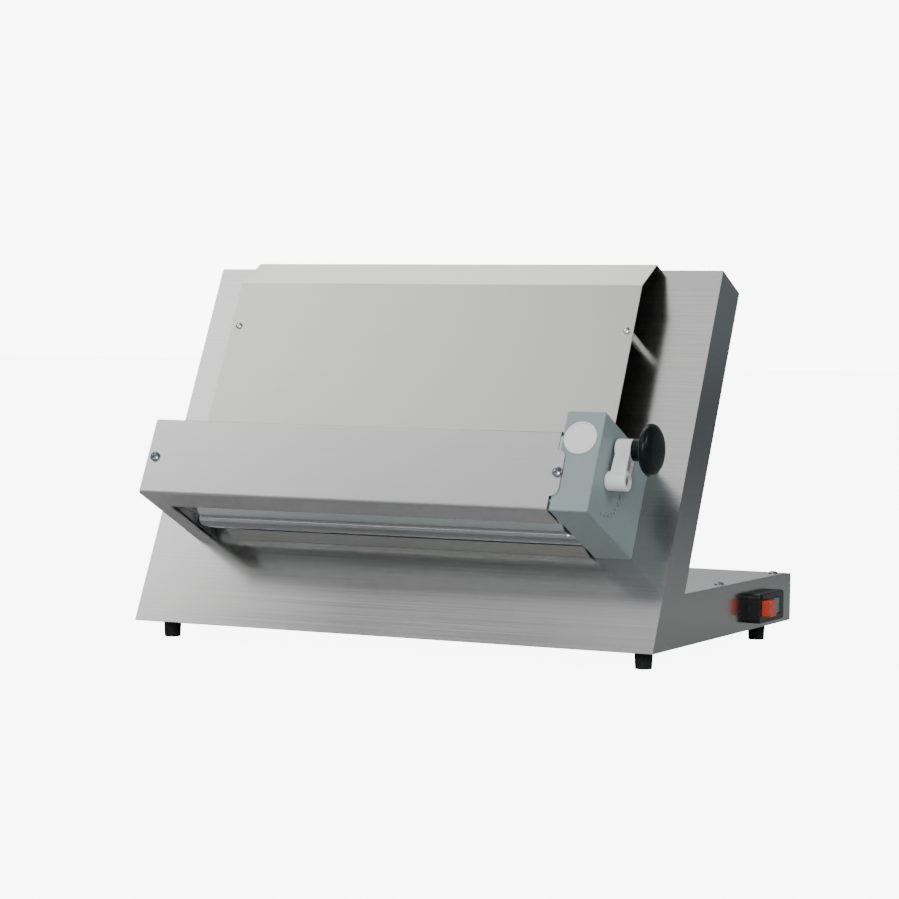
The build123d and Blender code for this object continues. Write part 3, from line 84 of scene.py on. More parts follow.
soft_light("key_left", (-2.7, -1.94, 3.0), (0, 0, 0.2), 1.8, 2.0, 31)
soft_light("key_right", (-1.2, -2.75, 3.4), (0, 0, 0.2), 1.6, 1.4, 7)
soft_light("low_strip", (-1.2, -3.2, 0.8), (0, 0, 0.2), 2.4, 0.15, 6)
soft_light("front_fill", (0.6, -3.5, 1.4), (0.1, 0, 0.2), 1.4, 1.2, 62)
soft_light("side_light", (2.6, -1.1, 1.7), (0.2, 0, 0.2), 1.2, 1.0, 28)
soft_light("top_light", (-1.4, 1.2, 2.6), (0, 0.1, 0), 2.0, 1.4, 24)


def new_material(name):
    """Empty principled material, with its tree and shader."""
    material = bpy.data.materials.new(name)
    material.use_nodes = True
    tree = material.node_tree
    return material, tree, tree.nodes["Principled BSDF"]


def add_node(tree, kind, **values):
    """New node; each value goes to the input of that name, or else to the node's own setting."""
    node = tree.nodes.new(kind)
    for key, value in values.items():
        if key in node.inputs:
            node.inputs[key].default_value = value
        else:
            setattr(node, key, value)
    return node


def stretched_noise(tree, stretch, scale, detail=4.0, rough=0.55):
    """Noise read from the piece's own coordinates, stretched by a Mapping node."""
    place_node = add_node(tree, "ShaderNodeTexCoord")
    mapping = add_node(tree, "ShaderNodeMapping")
    mapping.inputs["Scale"].default_value = stretch
    noise = add_node(tree, "ShaderNodeTexNoise", Scale=scale, Detail=detail, Roughness=rough)
    tree.links.new(place_node.outputs["Object"], mapping.inputs["Vector"])
    tree.links.new(mapping.outputs["Vector"], noise.inputs["Vector"])
    return noise.outputs["Fac"]


def ranged(tree, value, low, high, from_low=0.3, from_high=0.7, curve="LINEAR"):
    """The value spread from low to high; noise mostly lies between 0.3 and 0.7."""
    node = add_node(tree, "ShaderNodeMapRange", interpolation_type=curve)
    for key, limit in (("From Min", from_low), ("From Max", from_high),
                       ("To Min", low), ("To Max", high)):
        node.inputs[key].default_value = limit
    tree.links.new(value, node.inputs["Value"])
    return node.outputs["Result"]


def mixed_colour(tree, value, first, second):
    """Colour between the first, where the value is 0, and the second, where it is 1."""
    node = add_node(tree, "ShaderNodeMix", data_type="RGBA")
    colours = [socket for socket in node.inputs if socket.type == "RGBA"]
    colours[0].default_value = (*first, 1)
    colours[1].default_value = (*second, 1)
    tree.links.new(value, node.inputs["Factor"])
    return [socket for socket in node.outputs if socket.type == "RGBA"][0]


LIGHT_SIDE, DARK_SIDE = (0.42, 0.42, 0.43), (0.2, 0.23, 0.235)
BACKDROP_LIFT, FLOOR_LIFT = 9.0, 8.0
world = bpy.data.worlds.new("studio")
scene.world = world
world.use_nodes = True
sky = world.node_tree
toward = add_node(sky, "ShaderNodeTexCoord")
split = add_node(sky, "ShaderNodeSeparateXYZ")
sky.links.new(toward.outputs["Generated"], split.inputs["Vector"])
rightwards = ranged(sky, split.outputs["X"], 0, 1, -0.5, 0.45, "SMOOTHSTEP")
sky.links.new(mixed_colour(sky, rightwards, LIGHT_SIDE, DARK_SIDE),
              sky.nodes["Background"].inputs["Color"])
backdrop = add_node(sky, "ShaderNodeBackground", Color=(1, 1, 1, 1), Strength=BACKDROP_LIFT)
seen = add_node(sky, "ShaderNodeLightPath")
choose = add_node(sky, "ShaderNodeMixShader")
sky.links.new(seen.outputs["Is Camera Ray"], choose.inputs["Fac"])
sky.links.new(sky.nodes["Background"].outputs["Background"], choose.inputs[1])
sky.links.new(backdrop.outputs["Background"], choose.inputs[2])
sky.links.new(choose.outputs["Shader"], sky.nodes["World Output"].inputs["Surface"])

floor_material, floor_tree, floor_shader = new_material("pale_floor")
floor_shader.inputs["Roughness"].default_value = 0.9
floor_shader.inputs["Specular IOR Level"].default_value = 0.1
floor_grain = stretched_noise(floor_tree, (1, 1, 1), 3.0)
floor_tree.links.new(mixed_colour(floor_tree, floor_grain, (0.43, 0.43, 0.425), (0.47, 0.47, 0.465)),
                     floor_shader.inputs["Base Color"])
floor_glow = add_node(floor_tree, "ShaderNodeEmission", Color=(1, 1, 1, 1))
floor_seen = add_node(floor_tree, "ShaderNodeLightPath")
floor_lift = add_node(floor_tree, "ShaderNodeMath", operation="MULTIPLY")
floor_lift.inputs[1].default_value = FLOOR_LIFT
floor_tree.links.new(floor_seen.outputs["Is Camera Ray"], floor_lift.inputs[0])
floor_tree.links.new(floor_lift.outputs[0], floor_glow.inputs["Strength"])
floor_sum = add_node(floor_tree, "ShaderNodeAddShader")
floor_tree.links.new(floor_shader.outputs["BSDF"], floor_sum.inputs[0])
floor_tree.links.new(floor_glow.outputs["Emission"], floor_sum.inputs[1])
floor_tree.links.new(floor_sum.outputs["Shader"], floor_tree.nodes["Material Output"].inputs["Surface"])
FAR = 30
floor_mesh = bpy.data.meshes.new("floor")
floor_mesh.from_pydata([(-FAR, -FAR, 0), (FAR, -FAR, 0), (FAR, FAR, 0), (-FAR, FAR, 0)], [],
                       [(0, 1, 2, 3)])
floor_mesh.materials.append(floor_material)
floor = bpy.data.objects.new("floor", floor_mesh)
scene.collection.objects.link(floor)

# ---- Body: one stainless sheet folded into the leaning front, the top cap and both sides ---------
# 1.5 mm sheet: the front is brushed along the width and the sides along the depth, with tight folds
# and barely eased rims. Its inner flanges and its openings behind the head and the switch are left
# out of this skin.
joints = {joint["name"]: joint for joint in frame["joints"]}
OUT = Vector(joints["gap_slide"]["axis"]).normalized()
ACROSS = Vector((1, 0, 0))
UP_SLOPE = OUT.cross(ACROSS)
front_origin = Vector(((body_low.x + body_high.x) / 2, body_low.y, body_low.z))


def on_slope(x, s, n):
    """Point x across, s up the front panel and n out of it, from the middle of its lower edge."""
    return front_origin + ACROSS * x + UP_SLOPE * s + OUT * n


def slope_span(node):
    """Lowest and highest (x, s, n) of a CAD node."""
    points = [vertex.co - front_origin for vertex in frame["nodes"][node].data.vertices]
    values = [[p.dot(axis) for p in points] for axis in (ACROSS, UP_SLOPE, OUT)]
    return Vector([min(v) for v in values]), Vector([max(v) for v in values])


STREAK_SHARE = 0.7
ALONG_X, ALONG_Y = (3, 520, 520), (520, 3, 520)


def bumped(tree, shader, height, strength, distance):
    """Slight relief from a height value."""
    bump = add_node(tree, "ShaderNodeBump", Strength=strength, Distance=distance)
    tree.links.new(height, bump.inputs["Height"])
    tree.links.new(bump.outputs["Normal"], shader.inputs["Normal"])


def brushed_steel(name, tone, grain, roughness=0.2, contrast=0.06, cloud=0.04, bump=0.05):
    """Metal whose tone and roughness vary in fine streaks along the brushing and in slow clouds."""
    material, tree, shader = new_material(name)
    shader.inputs["Metallic"].default_value = 1.0
    streaks = stretched_noise(tree, grain, 1.0, 6.0, 0.65)
    clouds = stretched_noise(tree, (1, 1, 1), 5.0, 3.0, 0.5)
    both = add_node(tree, "ShaderNodeMath", operation="MULTIPLY_ADD")
    both.inputs[1].default_value = STREAK_SHARE
    tree.links.new(streaks, both.inputs[0])
    scaled = add_node(tree, "ShaderNodeMath", operation="MULTIPLY")
    scaled.inputs[1].default_value = 1 - STREAK_SHARE
    tree.links.new(clouds, scaled.inputs[0])
    tree.links.new(scaled.outputs[0], both.inputs[2])
    dark = [c * (1 - contrast) for c in tone]
    light = [min(1, c * (1 + contrast)) for c in tone]
    tree.links.new(mixed_colour(tree, ranged(tree, both.outputs[0], 0, 1), dark, light),
                   shader.inputs["Base Color"])
    tree.links.new(ranged(tree, both.outputs[0], roughness - cloud, roughness + cloud),
                   shader.inputs["Roughness"])
    bumped(tree, shader, streaks, bump, 0.0002)
    return material


sheet_front = brushed_steel("brushed_sheet_front", (0.455, 0.448, 0.443), ALONG_X, contrast=0.12)
# The sides get a darker, bluer tone than the front: this is painted shade on the same sheet.
side_tone_painted_shade = brushed_steel("brushed_side_painted_shade", (0.405, 0.415, 0.415), ALONG_Y, roughness=0.15,
                           contrast=0.04)


def new_piece(name, mesh, material, body, slot, *replaced):
    """Links a finished mesh, gives it its finish and hands it to its body."""
    piece = bpy.data.objects.new(name, mesh)
    scene.collection.objects.link(piece)
    if material:
        mesh.materials.clear()
        mesh.materials.append(material)
    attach(piece, body)
    if replaced:
        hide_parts(*replaced)
    return piece


def mark_edges(work, angle=32):
    """Smooth shading, with a hard line only where faces meet at more than the angle."""
    for face in work.faces:
        face.smooth = True
    for edge in work.edges:
        edge.smooth = len(edge.link_faces) == 2 and edge.calc_face_angle(0) < radians(angle)


def worked_in(piece):
    """The piece's mesh with its modifiers worked in; the working object goes."""
    bpy.context.view_layer.update()
    made = bpy.data.meshes.new_from_object(piece.evaluated_get(bpy.context.evaluated_depsgraph_get()))
    bpy.data.objects.remove(piece)
    return made


def area_shaded(mesh):
    """The mesh with its normals led by the large faces, so flat sheet stays flat beside its rounds."""
    holder = bpy.data.objects.new("holder", mesh)
    scene.collection.objects.link(holder)
    weights = holder.modifiers.new("weights", "WEIGHTED_NORMAL")
    weights.keep_sharp, weights.weight = True, 60
    return worked_in(holder)


def settled(piece):
    """The piece's finished mesh, joined up and shaded."""
    mesh = worked_in(piece)
    work = bmesh.new()
    work.from_mesh(mesh)
    bmesh.ops.remove_doubles(work, verts=work.verts, dist=1e-7)
    mark_edges(work)
    work.to_mesh(mesh)
    work.free()
    return area_shaded(mesh)


SHEET, FOLD_RADIUS, RIM_EASE = 0.0015, 0.0022, 0.0003


def folded_sheet(name, corners, faces):
    """Sheet metal from flat faces that share their fold lines: the folds are rounded, the sheet gets
    its thickness inwards, and its cut rim is eased."""
    work = bmesh.new()
    points = [work.verts.new(corner) for corner in corners]
    for face in faces:
        work.faces.new([points[i] for i in face])
    folds = [edge for edge in work.edges
             if len(edge.link_faces) == 2 and edge.calc_face_angle(0) > radians(8)]
    bmesh.ops.bevel(work, geom=folds, offset=FOLD_RADIUS, offset_type="OFFSET", segments=5,
                    profile=0.5, affect="EDGES", clamp_overlap=True)
    mesh = bpy.data.meshes.new(name)
    work.to_mesh(mesh)
    work.free()
    piece = bpy.data.objects.new(name, mesh)
    scene.collection.objects.link(piece)
    wall = piece.modifiers.new("thickness", "SOLIDIFY")
    wall.thickness, wall.offset, wall.use_even_offset = SHEET, -1, True
    ease = piece.modifiers.new("rim", "BEVEL")
    ease.width, ease.segments = RIM_EASE, 2
    ease.limit_method, ease.angle_limit = "ANGLE", radians(60)
    ease.use_clamp_overlap = False
    return settled(piece)


half_width = (body_high.x - body_low.x) / 2
NEAR = 0.003
shell_points = [vertex.co - front_origin for vertex in frame["nodes"]["body_shell"].data.vertices]
panel_top = max(p.dot(UP_SLOPE) for p in shell_points if abs(p.dot(OUT)) < NEAR)
panel_depth = -min(p.dot(OUT) for p in shell_points if p.dot(UP_SLOPE) > panel_top - NEAR)
base_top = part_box("base_pan")[1].z
meeting = on_slope(0, 0, -panel_depth)
meeting += UP_SLOPE * ((base_top - meeting.z) / UP_SLOPE.z)
corners = []
for side in (-1, 1):
    x = side * half_width
    corners += [on_slope(x, 0, 0), on_slope(x, panel_top, 0), on_slope(x, panel_top, -panel_depth),
                Vector((front_origin.x + x, meeting.y, base_top)),
                Vector((front_origin.x + x, body_high.y, base_top)),
                Vector((front_origin.x + x, body_high.y, body_low.z))]
leaning_front, top_cap = (0, 6, 7, 1), (1, 7, 8, 2)
left_side, right_side = (0, 1, 2, 3, 4, 5), (6, 11, 10, 9, 8, 7)
body_mesh = folded_sheet("body_sheet", corners, [leaning_front, top_cap, left_side, right_side])
body_mesh.materials.append(sheet_front)
body_mesh.materials.append(side_tone_painted_shade)
# Faces turned across take the side tone, which carries painted shade.
for polygon in body_mesh.polygons:
    polygon.material_index = 1 if abs(polygon.normal.x) > 0.75 else 0
new_piece("body_sheet", body_mesh, None, "frame", "brushed_stainless", "body_shell")

# ---- Back panel, base pan and base cover ---------------------------------------------------------
# Flat brushed sheets: the back panel and the pan are screwed inside the folded body, and the cover
# lies on the pan's ledges with a thin dark gap round it.


def smooth_copy(node, name, material, body, slot, angle=32):
    """The CAD solid's surface, joined up and shaded smooth over its rounds."""
    mesh = frame["nodes"][node].data.copy()
    work = bmesh.new()
    work.from_mesh(mesh)
    bmesh.ops.remove_doubles(work, verts=work.verts, dist=1e-6)
    mark_edges(work, angle)
    work.to_mesh(mesh)
    work.free()
    if "custom_normal" in mesh.attributes:
        mesh.attributes.remove(mesh.attributes["custom_normal"])
    return new_piece(name, area_shaded(mesh), material, body, slot, node)


smooth_copy("back_panel", "back_sheet", sheet_front, "frame", "brushed_stainless")
# The pan takes the sides' darker tone, and with it their painted shade.
smooth_copy("base_pan", "base_tray", side_tone_painted_shade, "frame", "brushed_stainless")
cover_steel = brushed_steel("brushed_cover", (0.80, 0.80, 0.79), ALONG_X, roughness=0.38)


def eased_box(name, low, high, ease):
    """Closed block between two corners with rounded edges."""
    work = bmesh.new()
    bmesh.ops.create_cube(work, size=1)
    middle, size = (low + high) / 2, high - low
    for vertex in work.verts:
        vertex.co = Vector([middle[i] + vertex.co[i] * size[i] for i in range(3)])
    bmesh.ops.bevel(work, geom=work.edges[:], offset=ease, segments=3, profile=0.5, affect="EDGES")
    mark_edges(work)
    mesh = bpy.data.meshes.new(name)
    work.to_mesh(mesh)
    work.free()
    return area_shaded(mesh)


LID_EASE = 0.0005
new_piece("base_lid", eased_box("base_lid", *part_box("base_cover"), LID_EASE), cover_steel, "frame",
          "satin_stainless", "base_cover")

# ---- Rubber feet ---------------------------------------------------------------------------------
# Black rubber buffers, a little narrower at the floor. Each is held by a screw that goes up through
# a recess into the base.


def moulded(name, dark, light, grain, gloss, relief=None, sockets=()):
    """Rubber or plastic with a fine mottle in its colour and roughness, and perhaps a slight relief."""
    material, tree, shader = new_material(name)
    for title, value in sockets:
        shader.inputs[title].default_value = value
    mottle = stretched_noise(tree, (1, 1, 1), grain)
    tree.links.new(mixed_colour(tree, mottle, dark, light), shader.inputs["Base Color"])
    tree.links.new(ranged(tree, mottle, *gloss), shader.inputs["Roughness"])
    if relief:
        bumped(tree, shader, mottle, *relief)
    return material


rubber = moulded("foot_rubber", (0.010, 0.010, 0.011), (0.022, 0.022, 0.023), 900.0, (0.55, 0.75),
                 (0.25, 0.0003), [("Specular IOR Level", 0.35)])


def islands(node):
    """The separate solids of a CAD node, each as a list of its points."""
    work = bmesh.new()
    work.from_mesh(frame["nodes"][node].data)
    bmesh.ops.remove_doubles(work, verts=work.verts, dist=1e-6)
    left, groups = set(work.verts), []
    while left:
        stack, group = [left.pop()], []
        while stack:
            vertex = stack.pop()
            group.append(vertex.co.copy())
            for edge in vertex.link_edges:
                other = edge.other_vert(vertex)
                if other in left:
                    left.remove(other)
                    stack.append(other)
        groups.append(group)
    work.free()
    return groups


def turned(name, outline, origin, axis, steps=64):
    """Turned piece: (height along the axis, radius) points spun round it, closed at the poles."""
    axis = Vector(axis).normalized()
    side = axis.orthogonal().normalized()
    other = axis.cross(side)
    work = bmesh.new()
    rings = []
    for height, radius in outline:
        if radius < 1e-6:
            rings.append([work.verts.new(origin + axis * height)])
            continue
        turns = [2 * pi * i / steps for i in range(steps)]
        centre = origin + axis * height
        rings.append([work.verts.new(centre + (side * cos(turn) + other * sin(turn)) * radius)
                      for turn in turns])
    for low, high in zip(rings, rings[1:]):
        for i in range(steps):
            j = (i + 1) % steps
            if len(low) == 1:
                work.faces.new((low[0], high[j], high[i]))
            elif len(high) == 1:
                work.faces.new((low[i], low[j], high[0]))
            else:
                work.faces.new((low[i], low[j], high[j], high[i]))
    bmesh.ops.recalc_face_normals(work, faces=work.faces)
    mark_edges(work)
    mesh = bpy.data.meshes.new(name)
    work.to_mesh(mesh)
    work.free()
    return mesh


def arc(centre_height, centre_radius, radius, start, end, steps=6):
    """Points of a round in a turned outline, angles in degrees from the axis direction outwards."""
    angles = [radians(start + (end - start) * i / steps) for i in range(steps + 1)]
    return [(centre_height + radius * cos(angle), centre_radius + radius * sin(angle))
            for angle in angles]


def joined(name, meshes):
    """One mesh from several."""
    work = bmesh.new()
    for mesh in meshes:
        work.from_mesh(mesh)
    result = bpy.data.meshes.new(name)
    work.to_mesh(result)
    work.free()
    return result


FLOOR_RADIUS, COLLAR_RADIUS, FOOT_ROUND = 0.0098, 0.0108, 0.0008
RECESS_TOP, RECESS_RADIUS, RECESS_DRAFT, MOUTH_DEPTH = 0.0118, 0.0054, 0.0002, 0.0006
feet = []
for group in islands("rubber_feet"):
    centre = Vector(((min(p.x for p in group) + max(p.x for p in group)) / 2,
                     (min(p.y for p in group) + max(p.y for p in group)) / 2, 0))
    top = max(p.z for p in group)
    outline = [(RECESS_TOP, 0), (RECESS_TOP, RECESS_RADIUS), (MOUTH_DEPTH, RECESS_RADIUS + RECESS_DRAFT),
               (0, RECESS_RADIUS + FOOT_ROUND)]
    outline += arc(FOOT_ROUND, FLOOR_RADIUS - FOOT_ROUND, FOOT_ROUND, 180, 90)
    outline += arc(top - FOOT_ROUND, COLLAR_RADIUS - FOOT_ROUND, FOOT_ROUND, 90, 0) + [(top, 0)]
    feet.append(turned("foot", outline, centre, (0, 0, 1), 48))
new_piece("foot_buffers", joined("foot_buffers", feet), rubber, "frame", "foot_rubber", "rubber_feet")

# ---- Head cover ----------------------------------------------------------------------------------
# Light satin sheet folded round the front of the head: a lip below, a narrow lip above, a wall at the
# left end, and a round-cornered tongue on the right that is screwed over the gearbox.
head_steel = brushed_steel("head_cover_steel", (0.50, 0.50, 0.505), ALONG_X, roughness=0.3,
                           contrast=0.04)
smooth_copy("head_cover", "head_sheet", head_steel, "frame", "brushed_stainless")
smooth_copy("left_bracket", "left_bracket_sheet", head_steel, "frame", "satin_stainless")

# ---- Gearbox housing -----------------------------------------------------------------------------
# Moulded shell in satin silver-grey with softly rounded edges and a ring of small index dimples.
# A blank white disc with a raised rim sits on its front.
housing, housing_tree, housing_shader = new_material("gearbox_satin")
housing_shader.inputs["Coat Weight"].default_value = 0.15
housing_speckle = stretched_noise(housing_tree, (1, 1, 1), 1400.0, 3.0)
housing_cloud = stretched_noise(housing_tree, (1, 1, 1), 14.0, 3.0)
housing_grey = mixed_colour(housing_tree, housing_cloud, (0.25, 0.315, 0.33), (0.285, 0.355, 0.37))
housing_tree.links.new(housing_grey, housing_shader.inputs["Base Color"])
housing_tree.links.new(ranged(housing_tree, housing_speckle, 0.42, 0.56),
                       housing_shader.inputs["Roughness"])
bumped(housing_tree, housing_shader, housing_speckle, 0.10, 0.0002)
smooth_copy("gearbox_housing", "gearbox_shell", housing, "frame", "gearbox_plastic")

badge_white = moulded("badge_white", (0.88, 0.88, 0.86), (0.93, 0.93, 0.91), 500.0, (0.35, 0.5))
badge_low, badge_high = slope_span("round_badge")
badge_middle = (badge_low + badge_high) / 2
badge_centre = on_slope(badge_middle.x, badge_middle.y, badge_low.z)
badge_radius = (badge_high.x - badge_low.x) / 2
badge_top = badge_high.z - badge_low.z
RIM_ROUND, RIM_WIDTH, GROOVE_WIDTH, FIELD_DROP = 0.0007, 0.0021, 0.0010, 0.0004
groove_floor = badge_top * 0.3
groove_out, groove_in = badge_radius - RIM_WIDTH, badge_radius - RIM_WIDTH - GROOVE_WIDTH
outline = [(0, 0), (0, badge_radius)]
outline += arc(badge_top - RIM_ROUND, badge_radius - RIM_ROUND, RIM_ROUND, 90, 0)
outline += [(badge_top, groove_out), (groove_floor, groove_out - 0.0002), (groove_floor, groove_in),
            (badge_top - FIELD_DROP, groove_in - 0.0003), (badge_top - FIELD_DROP, 0)]
new_piece("blank_badge", turned("blank_badge", outline, badge_centre, OUT, 96), badge_white, "frame",
          "white_plastic", "round_badge")

# ---- Feed plate ----------------------------------------------------------------------------------
# Light satin sheet that the dough slides down. Its top is folded back to the panel in two facets,
# and it stands off the panel on two round posts with domed screws.
feed_steel = brushed_steel("feed_plate_steel", (0.53, 0.53, 0.515), ALONG_X, roughness=0.34,
                           contrast=0.03)
smooth_copy("feed_plate", "feed_sheet", feed_steel, "frame", "satin_stainless", angle=12)
FINE_GRAIN = (300, 300, 300)
post_steel = brushed_steel("satin_post", (0.86, 0.86, 0.85), FINE_GRAIN, roughness=0.5)
smooth_copy("feed_standoffs", "feed_posts", post_steel, "frame", "polished_steel")

# ---- Screws --------------------------------------------------------------------------------------
# Pan-head screws with a cross recess hold the covers and the back panel, and plain domed ones the
# feed plate. A head is a flattened ball cut to its round. It is built in millimetres and then scaled
# down, which keeps so small a shape true through the booleans.
MILLIMETRES = 1000.0
DOME_SPREAD, RECESS_TURN = 1.16, 0.4
LARGE_HEAD, SMALL_HEAD, FEED_HEAD = (0.0059, 0.0036), (0.0047, 0.0026), (0.0042, 0.0027)


def screw_tree(name, cross):
    """Geometry tree: one screw head on each point of the mesh, facing the Facing vector."""
    tree = bpy.data.node_groups.new(name, "GeometryNodeTree")
    face = tree.interface
    face.new_socket("Geometry", in_out="INPUT", socket_type="NodeSocketGeometry")
    for title, kind, value in (("Head Radius", "Float", 0.0059), ("Head Height", "Float", 0.0036),
                               ("Recess Width", "Float", 0.0016), ("Facing", "Vector", (0, 0, 1)),
                               ("Finish", "Material", None)):
        socket = face.new_socket(title, in_out="INPUT", socket_type="NodeSocket" + kind)
        if value is not None:
            socket.default_value = value
    face.new_socket("Geometry", in_out="OUTPUT", socket_type="NodeSocketGeometry")
    nodes, links = tree.nodes, tree.links
    given, result = nodes.new("NodeGroupInput"), nodes.new("NodeGroupOutput")

    def scaled(value, factor):
        node = nodes.new("ShaderNodeMath")
        node.operation = "MULTIPLY"
        links.new(value, node.inputs[0])
        node.inputs[1].default_value = factor
        return node.outputs[0]

    def vector(x, y, z):
        node = nodes.new("ShaderNodeCombineXYZ")
        for socket, value in zip(node.inputs, (x, y, z)):
            if isinstance(value, (int, float)):
                socket.default_value = value
            else:
                links.new(value, socket)
        return node.outputs[0]

    radius = scaled(given.outputs["Head Radius"], MILLIMETRES)
    height = scaled(given.outputs["Head Height"], MILLIMETRES)
    wide = scaled(radius, DOME_SPREAD)
    ball = nodes.new("GeometryNodeMeshUVSphere")
    ball.inputs["Segments"].default_value, ball.inputs["Rings"].default_value = 48, 24
    dome = nodes.new("GeometryNodeTransform")
    links.new(ball.outputs["Mesh"], dome.inputs["Geometry"])
    links.new(vector(wide, wide, height), dome.inputs["Scale"])
    keep = nodes.new("GeometryNodeMeshCylinder")
    keep.inputs["Vertices"].default_value = 48
    links.new(radius, keep.inputs["Radius"])
    links.new(scaled(height, 1.1), keep.inputs["Depth"])
    raised = nodes.new("GeometryNodeTransform")
    links.new(keep.outputs["Mesh"], raised.inputs["Geometry"])
    links.new(vector(0, 0, scaled(height, 0.55)), raised.inputs["Translation"])
    cut = nodes.new("GeometryNodeMeshBoolean")
    cut.operation, cut.solver = "INTERSECT", "EXACT"
    links.new(dome.outputs["Geometry"], cut.inputs["Mesh 2"])
    links.new(raised.outputs["Geometry"], cut.inputs["Mesh 2"])
    head = cut.outputs["Mesh"]
    if cross:
        recess = nodes.new("GeometryNodeMeshBoolean")
        recess.operation, recess.solver = "DIFFERENCE", "EXACT"
        links.new(head, recess.inputs["Mesh 1"])
        arm, width = scaled(radius, 1.05), scaled(given.outputs["Recess Width"], MILLIMETRES)
        for turn_by in (0, pi / 2):
            bar = nodes.new("GeometryNodeMeshCube")
            links.new(vector(arm, width, scaled(height, 1.2)), bar.inputs["Size"])
            moved = nodes.new("GeometryNodeTransform")
            moved.inputs["Rotation"].default_value = (0, 0, turn_by + RECESS_TURN)
            links.new(bar.outputs["Mesh"], moved.inputs["Geometry"])
            links.new(vector(0, 0, height), moved.inputs["Translation"])
            links.new(moved.outputs["Geometry"], recess.inputs["Mesh 2"])
        head = recess.outputs["Mesh"]
    turn = nodes.new("FunctionNodeAlignRotationToVector")
    turn.axis = "Z"
    links.new(given.outputs["Facing"], turn.inputs["Vector"])
    spots = nodes.new("GeometryNodeMeshToPoints")
    links.new(given.outputs["Geometry"], spots.inputs["Mesh"])
    placed = nodes.new("GeometryNodeInstanceOnPoints")
    links.new(spots.outputs["Points"], placed.inputs["Points"])
    links.new(head, placed.inputs["Instance"])
    links.new(turn.outputs["Rotation"], placed.inputs["Rotation"])
    placed.inputs["Scale"].default_value = (1 / MILLIMETRES,) * 3
    real = nodes.new("GeometryNodeRealizeInstances")
    links.new(placed.outputs["Instances"], real.inputs["Geometry"])
    finish = nodes.new("GeometryNodeSetMaterial")
    links.new(real.outputs["Geometry"], finish.inputs["Geometry"])
    links.new(given.outputs["Finish"], finish.inputs["Material"])
    links.new(finish.outputs["Geometry"], result.inputs["Geometry"])
    return tree


def screws(name, tree, node, facing, radius, height, material):
    """Screw heads standing on the places of a CAD node's solids."""
    points = []
    for group in islands(node):
        head_top = max(p.dot(facing) for p in group)
        spread = [p - facing * p.dot(facing) for p in group]
        axis = Vector([(min(p[i] for p in spread) + max(p[i] for p in spread)) / 2 for i in range(3)])
        points.append(axis + facing * (head_top - height))
    mesh = bpy.data.meshes.new(name)
    mesh.from_pydata(points, [], [])
    maker = bpy.data.objects.new(name, mesh)
    scene.collection.objects.link(maker)
    modifier = maker.modifiers.new("screws", "NODES")
    modifier.node_group = tree
    keys = {item.name: item.identifier for item in tree.interface.items_tree if item.in_out == "INPUT"}
    for title, value in (("Head Radius", radius), ("Head Height", height), ("Facing", tuple(facing)),
                         ("Finish", material)):
        modifier[keys[title]] = value
    new_piece(name + "_heads", settled(maker), material, "frame", "polished_steel", node)


cross_screw, dome_screw = screw_tree("cross_screw", True), screw_tree("dome_screw", False)
bright_steel = brushed_steel("turned_steel", (0.66, 0.66, 0.655), FINE_GRAIN, roughness=0.18)
# The cover and lid screws get a dark tone that paints in the dark reflection on their steel heads; the back and
# feed screws keep bright steel.
screw_steel_painted_dark = brushed_steel("screw_steel_painted_dark", (0.30, 0.32, 0.33), FINE_GRAIN, roughness=0.22)
screws("cover_screw", cross_screw, "head_cover_screws", OUT, *LARGE_HEAD, screw_steel_painted_dark)
screws("lid_screw", cross_screw, "base_cover_screws", Vector((0, 0, 1)), *LARGE_HEAD, screw_steel_painted_dark)
screws("back_screw", cross_screw, "back_panel_screws", -OUT, *SMALL_HEAD, bright_steel)
screws("feed_screw", dome_screw, "feed_screws", OUT, *FEED_HEAD, bright_steel)

# ---- Rollers, bearing plates and gap carrier -----------------------------------------------------
# Polished rollers run in bronze bushes between machined plates. The front one rides on two arms that
# the eccentric moves.
roller_steel = brushed_steel("ground_roller", (0.62, 0.66, 0.67), (40, 900, 900), roughness=0.16,
                             contrast=0.04)
machined = brushed_steel("machined_steel", (0.42, 0.42, 0.43), (350, 350, 350), roughness=0.35)
bronze = brushed_steel("bush_bronze", (0.60, 0.42, 0.20), (400, 400, 400), roughness=0.3)
node_body = {n: b for b, names in frame["record"]["behaviour"]["bodies"].items() for n in names}
node_slot = {part["node"]: part["material_slot"] for part in frame["record"]["subparts"]}
for node in ("rear_roller", "front_roller"):
    smooth_copy(node, node + "_ground", roller_steel, node_body[node], node_slot[node])

# ---- Lever and index knob ------------------------------------------------------------------------
# The lever is warm white moulded plastic with a pocketed arm between two bosses, and is screwed on
# the shaft's end. The knob is a glossy black mushroom on the index plunger.
white_plastic = moulded("lever_white", (0.93, 0.92, 0.90), (0.96, 0.95, 0.93), 60.0, (0.32, 0.46),
                        sockets=[("Subsurface Weight", 0.05)])
lever_low, lever_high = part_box("lever")
pin_low, pin_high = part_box("plunger_pin")
hub = Vector((0, *joints["lever_turn"]["pos_m"][1:]))
top = Vector((0, *((pin_low + pin_high) / 2).yz))
HUB_RADIUS, TOP_RADIUS, ARM_HALF, ARM_RIB = 0.0109, 0.0119, 0.0088, 0.0026
PIN_BORE, SHAFT_BORE = 0.0061, 0.00702
POCKET_FLOOR, POCKET_GAP, ARM_EASE, BOSS_EASE, CUT_PAST = 0.003, 0.0006, 0.0007, 0.0008, 0.001
ARM_INSET, TOP_INSET, FACE_INSET = 0.004, 0.0028, 0.0021
arm_inner, top_inner = lever_low.x + ARM_INSET, lever_low.x + TOP_INSET
face = lever_high.x - FACE_INSET


